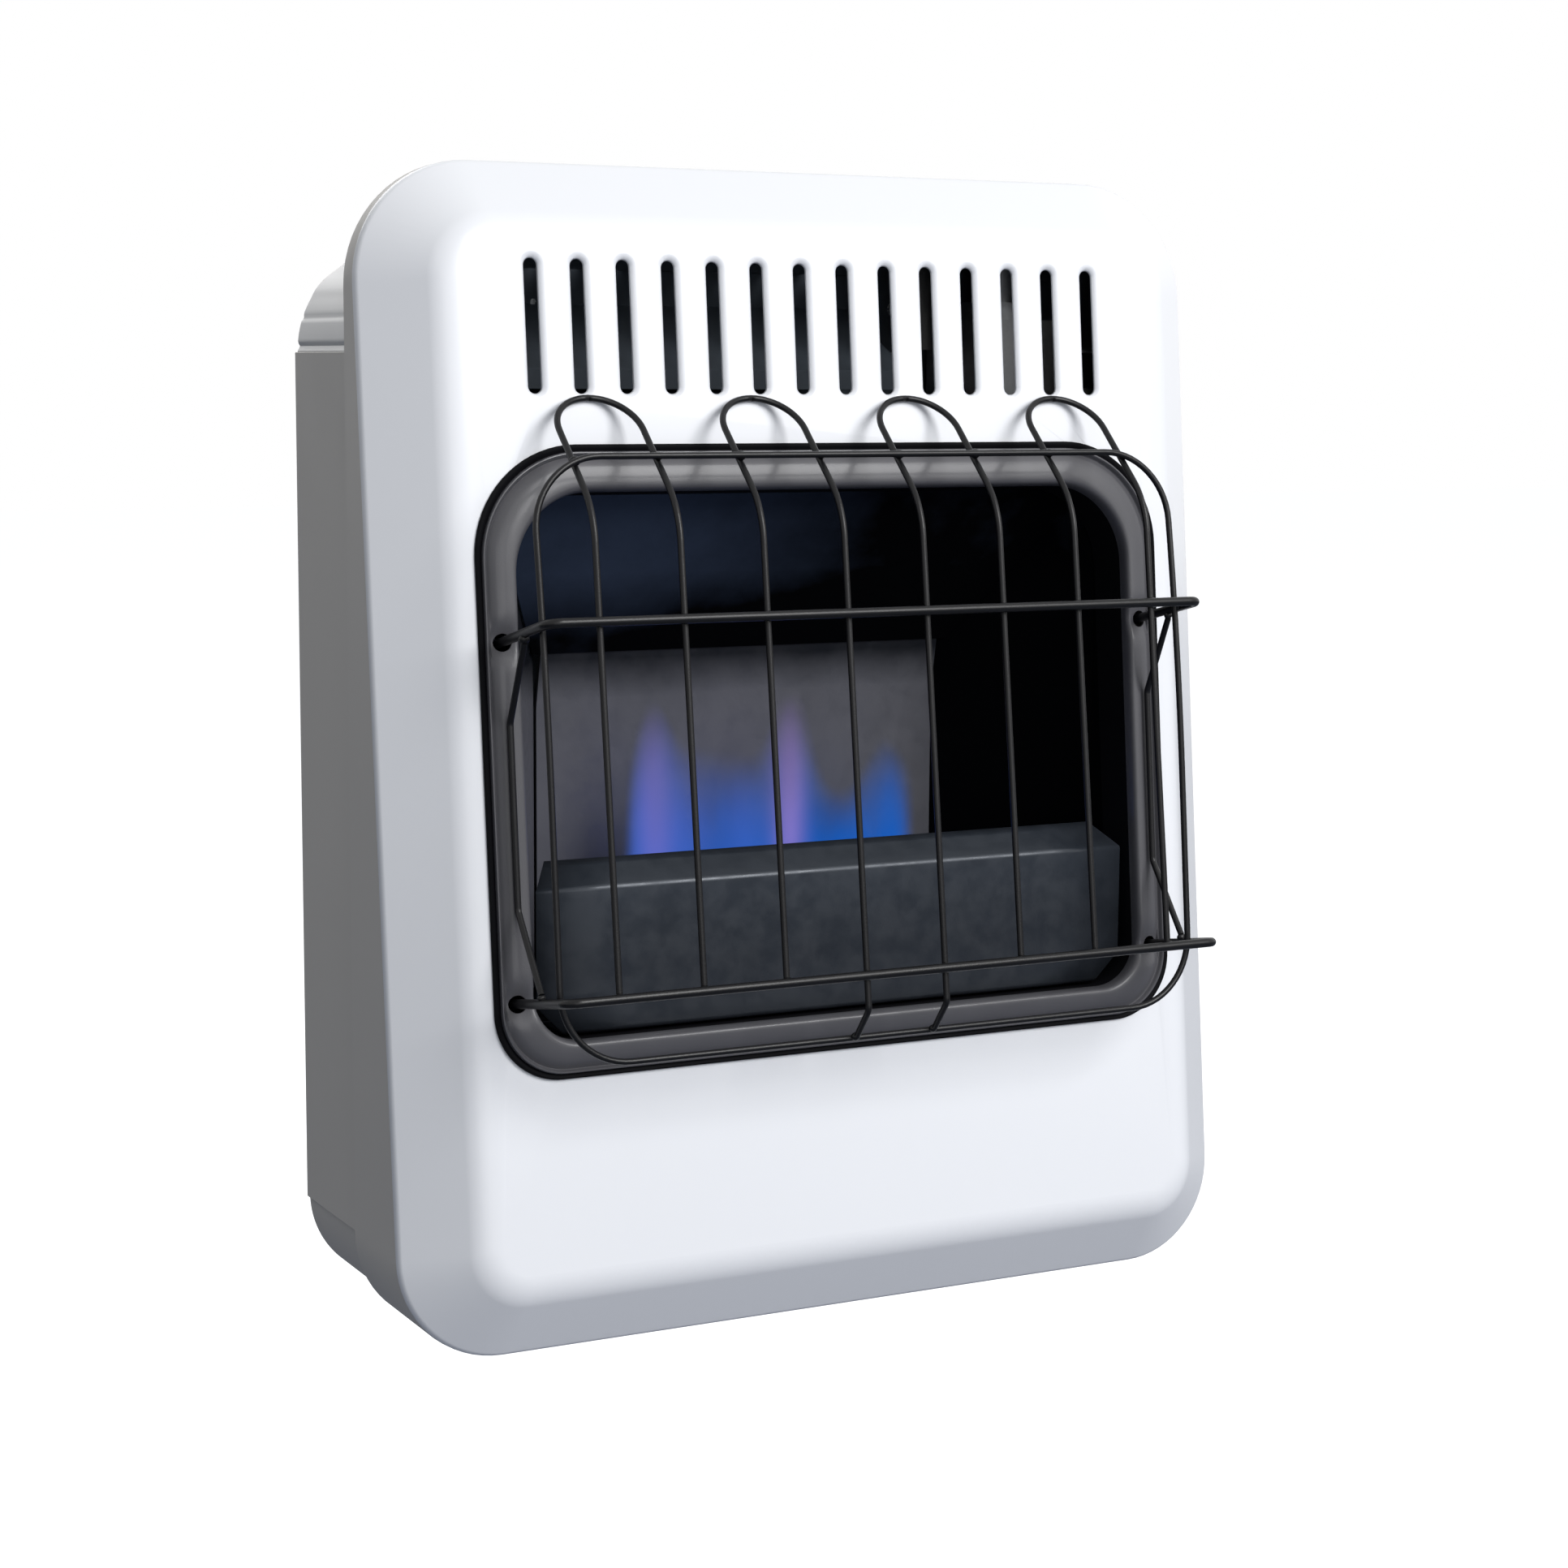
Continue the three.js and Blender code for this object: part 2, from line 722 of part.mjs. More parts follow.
// A loop is one wire: up one side, over at the top and down again
function guard_loop(number) {
  const left = (2 * number - loop_count + 1 / 2) * upright_pitch;
  const right = left + upright_pitch;
  const foot = lower_rod_up - rod_radius - wire_radius;
  const hook_up = hoop_foot + wire_radius;
  const hook_knee = (foot + hook_up) / 2;
  const hook_out = hoop_reach + wire_diameter + seat_gap;
  const leg = (x, hooked) => {
    const corners = [vec(x, -knee_out, knee_height)];
    if (hooked) {
      corners.unshift(vec(x, -upright_out(hook_knee), hook_knee));
      corners.unshift(vec(x, -hook_out, hook_up));
    } else {
      corners.unshift(vec(x, -upright_out(foot), foot));
    }
    return corners;
  };
  const hook_left = left > 0 && left < upright_pitch;
  const hook_right = right < 0 && right > -upright_pitch;
  const up_leg = leg(left, hook_left);
  const down_leg = leg(right, hook_right).reverse();
  const corners = [
    ...up_leg,
    vec(left, -loop_top_out, loop_top),
    vec(right, -loop_top_out, loop_top),
    ...down_leg,
  ];
  const half_loop = upright_pitch / 2;
  const bends = [
    ...(hook_left ? [side_wire_bend] : []),
    knee_bend,
    half_loop,
    half_loop,
    knee_bend,
    ...(hook_right ? [side_wire_bend] : []),
  ];
  return wire(corners, bends, wire_radius);
}

// Kinked wires that tie the two rods' arms together and keep close to the bezel
function guard_side_wire(side) {
  const x = side * half_spread;
  const out = bezel_crest + wire_radius + slip;
  const arm_up = (hole, lift, reach, at) => hole + (lift * at) / reach;
  const top_out = upper_rod_reach / 2;
  const foot_out = lower_rod_reach / 2;
  const clear = rod_radius + wire_radius + seat_gap;
  const top = arm_up(upper_rod_hole, upper_rod_lift, upper_rod_reach, top_out) - clear;
  const foot = arm_up(lower_rod_hole, lower_rod_lift, lower_rod_reach, foot_out) + clear;
  const middle = (top + foot) / 2;
  return wire([
    vec(x, -top_out, top),
    vec(x, -out, middle + side_wire_middle),
    vec(x, -out, middle - side_wire_middle),
    vec(x, -foot_out, foot),
  ], side_wire_bend, wire_radius);
}

// Case
const case_top_line = rounded_route(
  [
    flat(inner_half, seam_high - seam_lap),
    flat(inner_half, case_height),
    flat(-inner_half, case_height),
    flat(-inner_half, seam_high - seam_lap),
  ],
  case_radius,
  corner_steps,
);
const case_bottom_line = rounded_route(
  [
    flat(-inner_half, seam_low + seam_lap),
    flat(-inner_half, case_floor),
    flat(inner_half, case_floor),
    flat(inner_half, seam_low + seam_lap),
  ],
  case_low_radius,
  corner_steps,
);

function vent_tools(z0, z1) {
  const tools = [];
  for (let i = 0; i < vent_count; i += 1) {
    const x = vent_start + i * vent_pitch;
    const y = -case_reach / 2;
    tools.push(block(x, x + vent_width, y - vent_length / 2, y + vent_length / 2, z0, z1));
  }
  return tools;
}

const control_y = -valve_depth;
const plate_edges = [
  control_plate_x - control_plate_wide / 2,
  control_plate_x + control_plate_wide / 2,
  control_y - control_plate_deep / 2,
  control_y + control_plate_deep / 2,
];

function case_top() {
  const shell = prism_y(folded(case_top_line, case_sheet), case_front, 0);
  const z0 = case_height - overrun;
  const z1 = case_height + overrun;
  const valve_hole = post(valve_x, control_y, z0, z1, valve_neck_radius + seat_gap);
  const piezo_hole = post(piezo_x, control_y, z0, z1, piezo_radius + seat_gap);
  return cut(shell, valve_hole, piezo_hole, ...vent_tools(z0, z1));
}

function case_bottom() {
  const shell = prism_y(folded(case_bottom_line, case_sheet), case_front, 0);
  const inlet = post(gas_x, -gas_depth, case_floor - overrun, case_floor + overrun, inlet_hole_radius);
  return cut(
    shell,
    inlet,
    ...vent_tools(case_floor - overrun, case_floor + overrun),
    ...screw_holes(0, case_floor + overrun),
  );
}

function side_plate(side) {
  const line = [
    flat(side * half_case, 0),
    flat(side * half_case, case_front - case_sheet - seat_gap),
    flat(side * (half_case - case_flange), case_front - case_sheet - seat_gap),
  ];
  return prism_z(folded(line, -side * case_sheet), seam_low, seam_high);
}

function back_panel() {
  const half = inner_half - case_sheet - seat_gap;
  const low = case_floor + case_sheet + seat_gap;
  const high = case_height - case_sheet - seat_gap;
  const radius = case_radius - case_sheet - seat_gap;
  const low_radius = case_low_radius - case_sheet - seat_gap;
  const tray = prism_y(round_rect(half, low, high, low_radius, radius), back_sheet_y, 0);
  const pocket_outline = round_rect(
    half - case_sheet,
    low + case_sheet,
    high - case_sheet,
    low_radius - case_sheet,
    radius - case_sheet,
  );
  const pocket = prism_y(pocket_outline, -recess, overrun);
  const hook_slots = [-1, 1].map((side) => block(
    side * hook_x - hook_width / 2 - slip,
    side * hook_x + hook_width / 2 + slip,
    back_sheet_y - overrun,
    -recess + overrun,
    bracket_height + bracket_tall / 2 - bracket_sheet - seat_gap,
    bracket_height + bracket_tall / 2 + hook_tall,
  ));
  return cut(tray, pocket, ...hook_slots);
}

function wall_bracket() {
  const top = bracket_height + bracket_tall / 2;
  const half = bracket_width / 2;
  const plate = block(-half, half, -bracket_sheet, 0, top - bracket_tall, top);
  const hook_front = back_sheet_y - seat_gap - bracket_sheet;
  const hooks = [-1, 1].flatMap((side) => {
    const x = side * hook_x;
    const tongue = block(x - hook_width / 2, x + hook_width / 2, hook_front, 0, top - bracket_sheet, top);
    const tip = block(
      x - hook_width / 2,
      x + hook_width / 2,
      hook_front,
      hook_front + bracket_sheet,
      top - bracket_sheet,
      top + hook_tall,
    );
    return [tongue, tip];
  });
  const holes = [-1, 1].map((side) => pin(
    side * wall_hole_x,
    bracket_height,
    -overrun,
    overrun,
    wall_hole_radius,
  ));
  return cut(join(plate, ...hooks), ...holes);
}

function panel_hanger(side) {
  const x = side * (half_panel - hanger_inset);
  const foot = case_height + seat_gap;
  const behind_face = (height) => face_y(height) + (panel_sheet + seat_gap) / Math.cos(front_lean);
  const top = foot + case_sheet;
  const line = [
    flat(case_front + hanger_lap, top),
    flat(behind_face(top), top),
    flat(behind_face(top - hanger_lip), top - hanger_lip),
  ];
  return prism_x(folded(line, case_sheet), x - hanger_width / 2, x + hanger_width / 2);
}

function panel_screw(x) {
  return turned(x, panel_screw_y, [
    [0, -seat_gap - screw_head_tall],
    [screw_head_radius, -seat_gap - screw_head_tall],
    [screw_head_radius, -seat_gap],
    [screw_radius, -seat_gap],
    [screw_radius, screw_length],
    [0, screw_length],
  ]);
}

// Combustion chamber: its plan widens from the back wall to the mouth
const splay = (mouth_half - chamber_half_back) / (chamber_splay_end - chamber_back);
const chamber_half = (depth) => Math.min(mouth_half, chamber_half_back + (depth - chamber_back) * splay);
const throat_y = (height) => face_y(height) + (bezel_throat + seat_gap) / Math.cos(front_lean);
const hood_back = flat(-chamber_back - chamber_back_lean, chamber_floor + chamber_back_rise);
const hood_front = flat(mouth_high.y + chamber_sheet + seat_gap, mouth_high.z);

function firebox_back() {
  const line = [
    flat(-chamber_back, chamber_floor + seat_gap),
    flat(-chamber_back, chamber_floor + chamber_bend_rise),
    flat(hood_back.x, hood_back.y),
  ];
  const half = chamber_half_back - chamber_sheet;
  return prism_x(folded(line.reverse(), chamber_sheet), -half, half);
}

function firebox_side(side) {
  const reach = face_distance + bezel_throat;
  const line = [
    flat(side * chamber_half_back, -chamber_back + chamber_sheet),
    flat(side * mouth_half, -chamber_splay_end),
    flat(side * mouth_half, -reach),
  ];
  const wall = prism_z(folded(line, side * chamber_sheet), chamber_floor + seat_gap, mouth_high.z);
  const above_hood = prism_x([
    flat(overrun, hood_back.y + seat_gap),
    flat(hood_back.x, hood_back.y + seat_gap),
    flat(hood_front.x, hood_front.y + seat_gap),
    flat(hood_front.x, hood_front.y + bezel_top),
    flat(overrun, hood_front.y + bezel_top),
  ], -panel_width, panel_width);
  const below = mouth_low.z - bezel_foot;
  const above = mouth_high.z + bezel_top;
  const in_front = prism_x([
    flat(throat_y(below), below),
    flat(throat_y(above), above),
    flat(throat_y(above) - panel_width, above),
    flat(throat_y(below) - panel_width, below),
  ], -panel_width, panel_width);
  const venturi = bar(-burner_depth, burner_height, 0, panel_width, mouth_radius + slip);
  return side > 0 ? cut(wall, above_hood, in_front, venturi) : cut(wall, above_hood, in_front);
}

// A plate over the chamber's plan, from the back wall to the given depth
function chamber_plan(front_depth) {
  const depths = [chamber_back, chamber_splay_end, front_depth].filter((depth) => depth <= front_depth);
  const right = depths.map((depth) => flat(chamber_half(depth) - seat_gap, -depth));
  return [...right, ...right.map((p) => flat(-p.x, p.y)).reverse()];
}

function firebox_hood() {
  const run = hood_front.clone().sub(hood_back);
  const ends = [-hood_back.x, -hood_front.x];
  const outline = [
    flat(chamber_half(ends[0]) - seat_gap, 0),
    flat(chamber_half(ends[1]) - seat_gap, run.length()),
    flat(-chamber_half(ends[1]) + seat_gap, run.length()),
    flat(-chamber_half(ends[0]) + seat_gap, 0),
  ];
  const plate = prism(outline, chamber_sheet).rotateX(run.angle());
  return plate.translate(0, hood_back.x, hood_back.y + seat_gap);
}

const pilot_stations = { electrode: -1, burner: 0, thermocouple: 1 };
const pilot_hole_radius = pilot_radius + slip;
const pilot_places = Object.values(pilot_stations).map((step) => pilot_x + step * pilot_spacing);

function firebox_floor() {
  const front = -throat_y(chamber_floor) - seat_gap;
  const plate = prism_z(chamber_plan(front), chamber_floor - chamber_sheet, chamber_floor);
  const holes = pilot_places.map((x) => post(
    x,
    -pilot_depth,
    chamber_floor - overrun,
    chamber_floor + overrun,
    pilot_hole_radius,
  ));
  return cut(plate, ...holes);
}

function chamber_rail(rise) {
  const height = chamber_floor + rise;
  const half = chamber_half_back - rail_inset;
  const back = back_sheet_y - seat_gap;
  const front = -chamber_back + chamber_sheet + seat_gap + case_sheet;
  const line = [
    flat(back, height - rail_flange),
    flat(back, height),
    flat(front, height),
    flat(front, height + rail_flange),
  ];
  return prism_x(folded(line, case_sheet), -half, half);
}

function burner_cover() {
  const floor = chamber_floor + seat_gap;
  const line = [
    flat(-cover_face + cover_flange, floor),
    flat(-cover_face, floor),
    flat(-cover_face, cover_top),
    flat(-cover_face + cover_slope_run, cover_top + cover_slope_rise),
  ];
  const sheet = prism_x(folded(line, -chamber_sheet), -cover_half_width, cover_half_width);
  const beyond = cover_half_width + overrun;
  const corners = [-1, 1].flatMap((side) => {
    const above = cover_top + cover_slope_rise + chamber_sheet;
    const top_notch = prism_y([
      flat(side * cover_half_width, cover_top),
      flat(side * (cover_half_width - cover_corner), above),
      flat(side * beyond, above),
      flat(side * beyond, cover_top),
    ], -cover_face - overrun, -cover_face + cover_slope_run + overrun);
    const foot_notch = prism_y([
      flat(side * (cover_half_width - cover_foot_corner), floor),
      flat(side * cover_half_width, floor + cover_foot_corner),
      flat(side * beyond, floor + cover_foot_corner),
      flat(side * beyond, floor - overrun),
      flat(side * (cover_half_width - cover_foot_corner), floor - overrun),
    ], -cover_face - overrun, -cover_face + cover_flange + overrun);
    return [top_notch, foot_notch];
  });
  return cut(sheet, ...corners);
}

// Burner: a stamped tube with a round venturi at its right end
function burner_ring(x, half_wide, half_tall, radius) {
  const outline = round_rect(half_wide, -half_tall, half_tall, radius, radius);
  return outline.map((p) => vec(x, p.x - burner_depth, p.y + burner_height));
}

function burner_skin(inset, left, right) {
  const wide = burner_wide / 2 - inset;
  const tall = burner_tall / 2 - inset;
  const round = (radius) => [radius - inset, radius - inset, radius - inset];
  const rings = [
    burner_ring(left, wide, tall, burner_corner - inset),
    burner_ring(burner_half_length, wide, tall, burner_corner - inset),
    burner_ring(burner_half_length + burner_wide / 2, ...round(venturi_radius)),
    burner_ring((burner_half_length + venturi_end) / 2, ...round(throat_radius)),
    burner_ring(venturi_end - burner_tall / 2, ...round(throat_radius)),
    burner_ring(right, ...round(mouth_radius)),
  ];
  return loft(rings);
}

function burner_body() {
  const outer = burner_skin(0, -burner_half_length, venturi_end);
  const inner = burner_skin(burner_wall, -burner_half_length + burner_wall, venturi_end + burner_wall / 2);
  const top = burner_height + burner_tall / 2;
  const half = deck_length / 2 - burner_wall;
  const window = block(
    -half,
    half,
    -burner_depth - port_length / 2,
    -burner_depth + port_length / 2,
    top - burner_wall * 2,
    top + overrun,
  );
  return cut(outer, inner, window);
}

function burner_deck() {
  const bottom = burner_height + burner_tall / 2 + seat_gap;
  const half = deck_length / 2;
  const strip = block(
    -half,
    half,
    -burner_depth - deck_width / 2,
    -burner_depth + deck_width / 2,
    bottom,
    bottom + burner_wall,
  );
  const ports = [];
  for (let i = 0; i < port_count; i += 1) {
    const x = (i - (port_count - 1) / 2) * port_pitch;
    ports.push(block(
      x - port_width / 2,
      x + port_width / 2,
      -burner_depth - port_length / 2,
      -burner_depth + port_length / 2,
      bottom - overrun,
      bottom + overrun,
    ));
  }
  return cut(strip, ...ports);
}

function burner_bracket(side) {
  const x = side * (burner_half_length - burner_bracket_inset);
  const floor = chamber_floor + seat_gap;
  const top = burner_height - burner_tall / 2 - seat_gap - chamber_sheet;
  const line = [
    flat(-burner_depth + bracket_foot, floor),
    flat(-burner_depth, floor),
    flat(-burner_depth, top),
    flat(-burner_depth - bracket_foot, top),
  ];
  const half = burner_bracket_width / 2;
  return prism_x(folded(line.reverse(), chamber_sheet), x - half, x + half);
}

const orifice_plate_x = venturi_end + orifice_tip + orifice_stand + orifice_shank;

function orifice() {
  const tip = venturi_end + orifice_stand;
  const seat = orifice_plate_x + case_sheet + seat_gap;
  const hex = bar(-burner_depth, burner_height, seat, seat + orifice_hex_long, orifice_hex / 2, 6);
  return join(
    bar(-burner_depth, burner_height, tip, tip + orifice_tip, orifice_tip_radius),
    bar(-burner_depth, burner_height, tip + orifice_tip, seat + same_point, orifice_radius),
    hex,
  );
}

function orifice_bracket() {
  const wall = half_case - case_sheet - seat_gap;
  const back = -burner_depth + orifice_plate_deep / 2;
  const front = -burner_depth - orifice_plate_deep / 2;
  const line = [
    flat(wall, front - bracket_foot),
    flat(wall, front),
    flat(orifice_plate_x, front),
    flat(orifice_plate_x, back),
  ];
  const half = orifice_plate_tall / 2;
  const sheet = prism_z(folded(line, case_sheet), burner_height - half, burner_height + half);
  const hole = bar(-burner_depth, burner_height, 0, wall - bracket_foot, orifice_radius + seat_gap);
  return cut(sheet, hole);
}

// Pilot: a shelf that holds the pilot burner, the electrode and the thermocouple
const pilot_shelf = chamber_floor + pilot_bracket_rise;

function pilot_bracket() {
  const line = [
    flat(-pilot_depth + pilot_bracket_shelf + bracket_foot, chamber_floor + seat_gap),
    flat(-pilot_depth + pilot_bracket_shelf, chamber_floor + seat_gap),
    flat(-pilot_depth + pilot_bracket_shelf, pilot_shelf),
    flat(-pilot_depth - pilot_bracket_shelf / 2, pilot_shelf),
  ];
  const half = pilot_bracket_width / 2;
  const sheet = prism_x(folded(line.reverse(), chamber_sheet), pilot_x - half, pilot_x + half);
  const holes = pilot_places.map((x) => post(
    x,
    -pilot_depth,
    pilot_shelf - overrun,
    pilot_shelf + overrun,
    pilot_radius + seat_gap,
  ));
  return cut(sheet, ...holes);
}

// A turned piece that hangs in the shelf by a collar
function shelf_piece(x, radius, foot, tip, tip_radius) {
  const collar = pilot_shelf + chamber_sheet + seat_gap;
  const collar_radius = pilot_radius + chamber_sheet * 2;
  return turned(x, -pilot_depth, [
    [0, foot],
    [radius, foot],
    [radius, collar],
    [collar_radius, collar],
    [collar_radius, collar + chamber_sheet],
    [radius, collar + chamber_sheet],
    [tip_radius, tip - radius],
    [tip_radius, tip],
    [0, tip],
  ]);
}

const pilot_foot = pilot_shelf - bracket_foot;

// Valve, knob and igniter
const plate_bottom = case_height + seat_gap;
const plate_top = plate_bottom + control_plate_sheet;
const stem_bottom = plate_bottom - stem_bore_depth + knob_push * 2 + plunger_long + seat_gap;
const knob_bottom = plate_top + knob_clearance;

function gas_valve() {
  const x0 = valve_x - valve_wide / 2;
  const y0 = control_y - valve_deep / 2;
  const body = block(x0, x0 + valve_wide, y0, y0 + valve_deep, valve_bottom, valve_bottom + valve_tall);
  const cap_top = valve_bottom + valve_tall + valve_cap_tall;
  const cap = post(valve_x, control_y, valve_bottom + valve_tall / 2, cap_top, valve_cap_radius);
  const neck_top = plate_bottom - seat_gap;
  const neck = post(valve_x, control_y, valve_bottom + valve_tall / 2, neck_top, valve_neck_radius);
  const bore_bottom = plate_bottom - stem_bore_depth;
  const bore = post(valve_x, control_y, bore_bottom, plate_bottom + overrun, stem_radius + seat_gap);
  return cut(join(body, cap, neck), bore);
}

function valve_plunger() {
  const top = stem_bottom - seat_gap;
  return post(valve_x, control_y, top - plunger_long, top, stem_radius);
}

function valve_stem() {
  return post(valve_x, control_y, stem_bottom, knob_bottom + knob_hold - seat_gap, stem_radius);
}

function control_knob() {
  const shoulder = knob_bottom + knob_skirt_tall;
  const top = knob_bottom + knob_tall;
  const body = turned(valve_x, control_y, [
    [0, knob_bottom],
    [knob_skirt_radius, knob_bottom],
    [knob_skirt_radius, shoulder],
    [knob_radius, shoulder + knob_skirt_tall / 2],
    [knob_radius, top - knob_skirt_tall / 2],
    [knob_radius - knob_skirt_tall / 2, top],
    [0, top],
  ]);
  const flutes = [];
  for (let i = 0; i < knob_flutes; i += 1) {
    const angle = ((i + 1 / 2) / knob_flutes) * 2 * Math.PI;
    flutes.push(post(
      valve_x + (knob_radius + knob_flute_radius / 2) * Math.cos(angle),
      control_y + (knob_radius + knob_flute_radius / 2) * Math.sin(angle),
      shoulder + knob_skirt_tall / 2,
      top + overrun,
      knob_flute_radius,
      wire_sides,
    ));
  }
  const bore_top = knob_bottom + knob_hold;
  const bore = post(valve_x, control_y, knob_bottom - overrun, bore_top, stem_radius + seat_gap);
  return cut(body, bore, ...flutes);
}

function control_plate() {
  const [x0, x1, y0, y1] = plate_edges;
  const plate = block(x0, x1, y0, y1, plate_bottom, plate_top);
  const stem_hole = post(
    valve_x,
    control_y,
    plate_bottom - overrun,
    plate_top + overrun,
    stem_radius + seat_gap,
  );
  const piezo_hole = post(
    piezo_x,
    control_y,
    plate_bottom - overrun,
    plate_top + overrun,
    piezo_radius + seat_gap,
  );
  return cut(plate, stem_hole, piezo_hole);
}

const piezo_bottom = plate_bottom - piezo_long;
const piezo_top = plate_top + seat_gap + piezo_flange_tall;
const button_depth = button_travel * 2;

function piezo_igniter() {
  const body = turned(piezo_x, control_y, [
    [0, piezo_bottom],
    [piezo_radius, piezo_bottom],
    [piezo_radius, plate_top + seat_gap],
    [piezo_flange_radius, plate_top + seat_gap],
    [piezo_flange_radius, piezo_top],
    [0, piezo_top],
  ]);
  const bore_bottom = piezo_top - button_depth - button_travel - button_spare;
  const bore = post(piezo_x, control_y, bore_bottom, piezo_top + overrun, button_radius + seat_gap);
  return cut(body, bore);
}

function piezo_button() {
  const cap_bottom = piezo_top + button_travel + button_spare;
  return turned(piezo_x, control_y, [
    [0, piezo_top - button_depth],
    [button_radius, piezo_top - button_depth],
    [button_radius, cap_bottom],
    [button_cap_radius, cap_bottom],
    [button_cap_radius, cap_bottom + button_cap_tall],
    [0, cap_bottom + button_cap_tall],
  ]);
}

// Gas line
const regulator_flange = regulator_bottom + regulator_port_tall;
const regulator_dome = regulator_flange + regulator_flange_tall;
const regulator_top = regulator_dome + regulator_dome_tall;
const supply_start = regulator_top + regulator_port_tall;

function regulator() {
  return turned(gas_x, -gas_depth, [
    [0, regulator_bottom],
    [regulator_port_radius, regulator_bottom],
    [regulator_port_radius, regulator_flange],
    [regulator_radius, regulator_flange],
    [regulator_radius, regulator_dome],
    [regulator_dome_radius, regulator_dome],
    [regulator_dome_radius, regulator_top],
    [regulator_port_radius, regulator_top],
    [regulator_port_radius, supply_start],
    [0, supply_start],
  ]);
}

function regulator_bracket() {
  const back = back_sheet_y - seat_gap;
  const height = regulator_top + seat_gap;
  const line = [
    flat(-gas_depth - regulator_port_radius * 2, height),
    flat(back, height),
    flat(back, height + regulator_bracket_flange),
  ];
  const half = regulator_bracket_width / 2;
  const sheet = prism_x(folded(line, case_sheet), gas_x - half, gas_x + half);
  const hole = post(gas_x, -gas_depth, height - overrun, height + overrun, regulator_port_radius + seat_gap);
  return cut(sheet, hole);
}

function inlet_fitting() {
  const top = regulator_bottom - seat_gap;
  const thread = post(gas_x, -gas_depth, inlet_bottom, top, inlet_radius);
  const hex = post(gas_x, -gas_depth, top - inlet_hex_tall, top, inlet_hex / 2 + seat_gap, 6);
  const bore = post(gas_x, -gas_depth, inlet_bottom - overrun, top - inlet_hex_tall, inlet_bore);
  return cut(join(thread, hex), bore);
}

const valve_port = valve_bottom - seat_gap;
const supply_tube = () => post(gas_x, -gas_depth, supply_start + seat_gap, valve_port, supply_radius);

// Bent tubes and wires, as corner points chosen by hand: [x, y, z] of each bend
const manifold_inset = 13.7;
const manifold_port_depth = 24;
const manifold_rise = 74;
const manifold_x = half_case - manifold_inset;
const manifold_low = burner_height + manifold_rise;
const manifold_end = orifice_plate_x + case_sheet + 2 * seat_gap + orifice_hex_long;
const manifold_tube = () => wire([
  vec(gas_x, -manifold_port_depth, valve_port),
  vec(gas_x, -manifold_port_depth, manifold_low),
  vec(manifold_x, -burner_depth, manifold_low - tube_bend * 2),
  vec(manifold_x, -burner_depth, burner_height),
  vec(manifold_end, -burner_depth, burner_height),
], [tube_bend, tube_bend, manifold_x - manifold_end - same_point], manifold_radius);

const pilot_port_shift = 15;
const pilot_port_depth = 22;
const pilot_run_fall = 22;
const pilot_port_x = valve_x - pilot_port_shift;
const pilot_run = chamber_floor - pilot_run_fall;
const pilot_tube = () => wire([
  vec(pilot_port_x, -pilot_port_depth, valve_port),
  vec(pilot_port_x, -pilot_port_depth, pilot_run),
  vec(pilot_x, -pilot_depth, pilot_run),
  vec(pilot_x, -pilot_depth, pilot_foot - seat_gap),
], tube_bend, pilot_tube_radius);

const lead_port_depth = 18;
const lead_run_fall = 30;
const lead_run = chamber_floor - lead_run_fall;
const thermocouple_lead = () => wire([
  vec(valve_x, -lead_port_depth, valve_port),
  vec(valve_x, -lead_port_depth, lead_run),
  vec(pilot_x + pilot_spacing, -pilot_depth, lead_run),
  vec(pilot_x + pilot_spacing, -pilot_depth, pilot_foot - seat_gap),
], tube_bend, lead_radius);

const spark_shift = 30;
const spark_depth = 16;
const spark_run_fall = 38;
const spark_drop = 31;
const spark_x = valve_x - spark_shift;
const spark_run = chamber_floor - spark_run_fall;
const spark_high = piezo_bottom - spark_drop;
const igniter_wire = () => wire([
  vec(piezo_x, control_y, piezo_bottom - seat_gap),
  vec(piezo_x, control_y, spark_high),
  vec(spark_x, -spark_depth, spark_high - tube_bend * 2),
  vec(spark_x, -spark_depth, spark_run),
  vec(pilot_x - pilot_spacing, -pilot_depth, spark_run),
  vec(pilot_x - pilot_spacing, -pilot_depth, pilot_foot - seat_gap),
], tube_bend, spark_wire_radius);

const capillary_shift = 44;
const capillary_rise = 20;
const capillary_x = valve_x - capillary_shift;
const capillary_height = valve_bottom + capillary_rise;
const bulb_x = capillary_x - bulb_shift;
const capillary = () => wire([
  vec(bulb_x + bulb_length / 2 + seat_gap, -bulb_depth, bulb_height),
  vec(capillary_x, -bulb_depth, bulb_height),
  vec(capillary_x, -bulb_depth, capillary_height),
  vec(valve_x - valve_wide / 2 - seat_gap, -bulb_depth - tube_bend / 2, capillary_height),
], tube_bend / 2, capillary_radius);

const thermostat_bulb = () => bar(
  -bulb_depth,
  bulb_height,
  bulb_x - bulb_length / 2,
  bulb_x + bulb_length / 2,
  bulb_radius,
);

function bulb_clip() {
  const back = back_sheet_y - seat_gap;
  const drop = bulb_radius + seat_gap + case_sheet;
  const line = [
    flat(back, bulb_height + drop + bracket_foot),
    flat(back, bulb_height - drop),
    flat(-bulb_depth - drop, bulb_height - drop),
    flat(-bulb_depth - drop, bulb_height + drop),
  ];
  return prism_x(folded(line, -case_sheet), bulb_x - clip_width / 2, bulb_x + clip_width / 2);
}

function heat_deflector() {
  const top = case_height - deflector_fall;
  const back = back_sheet_y - seat_gap;
  const line = [
    flat(back, top),
    flat(back, top - deflector_flange),
    flat(back - deflector_run, top - deflector_drop),
    flat(back - deflector_run, top - deflector_drop - deflector_hem),
  ];
  return prism_x(folded(line, -case_sheet), vent_start, piezo_x - deflector_end_gap);
}

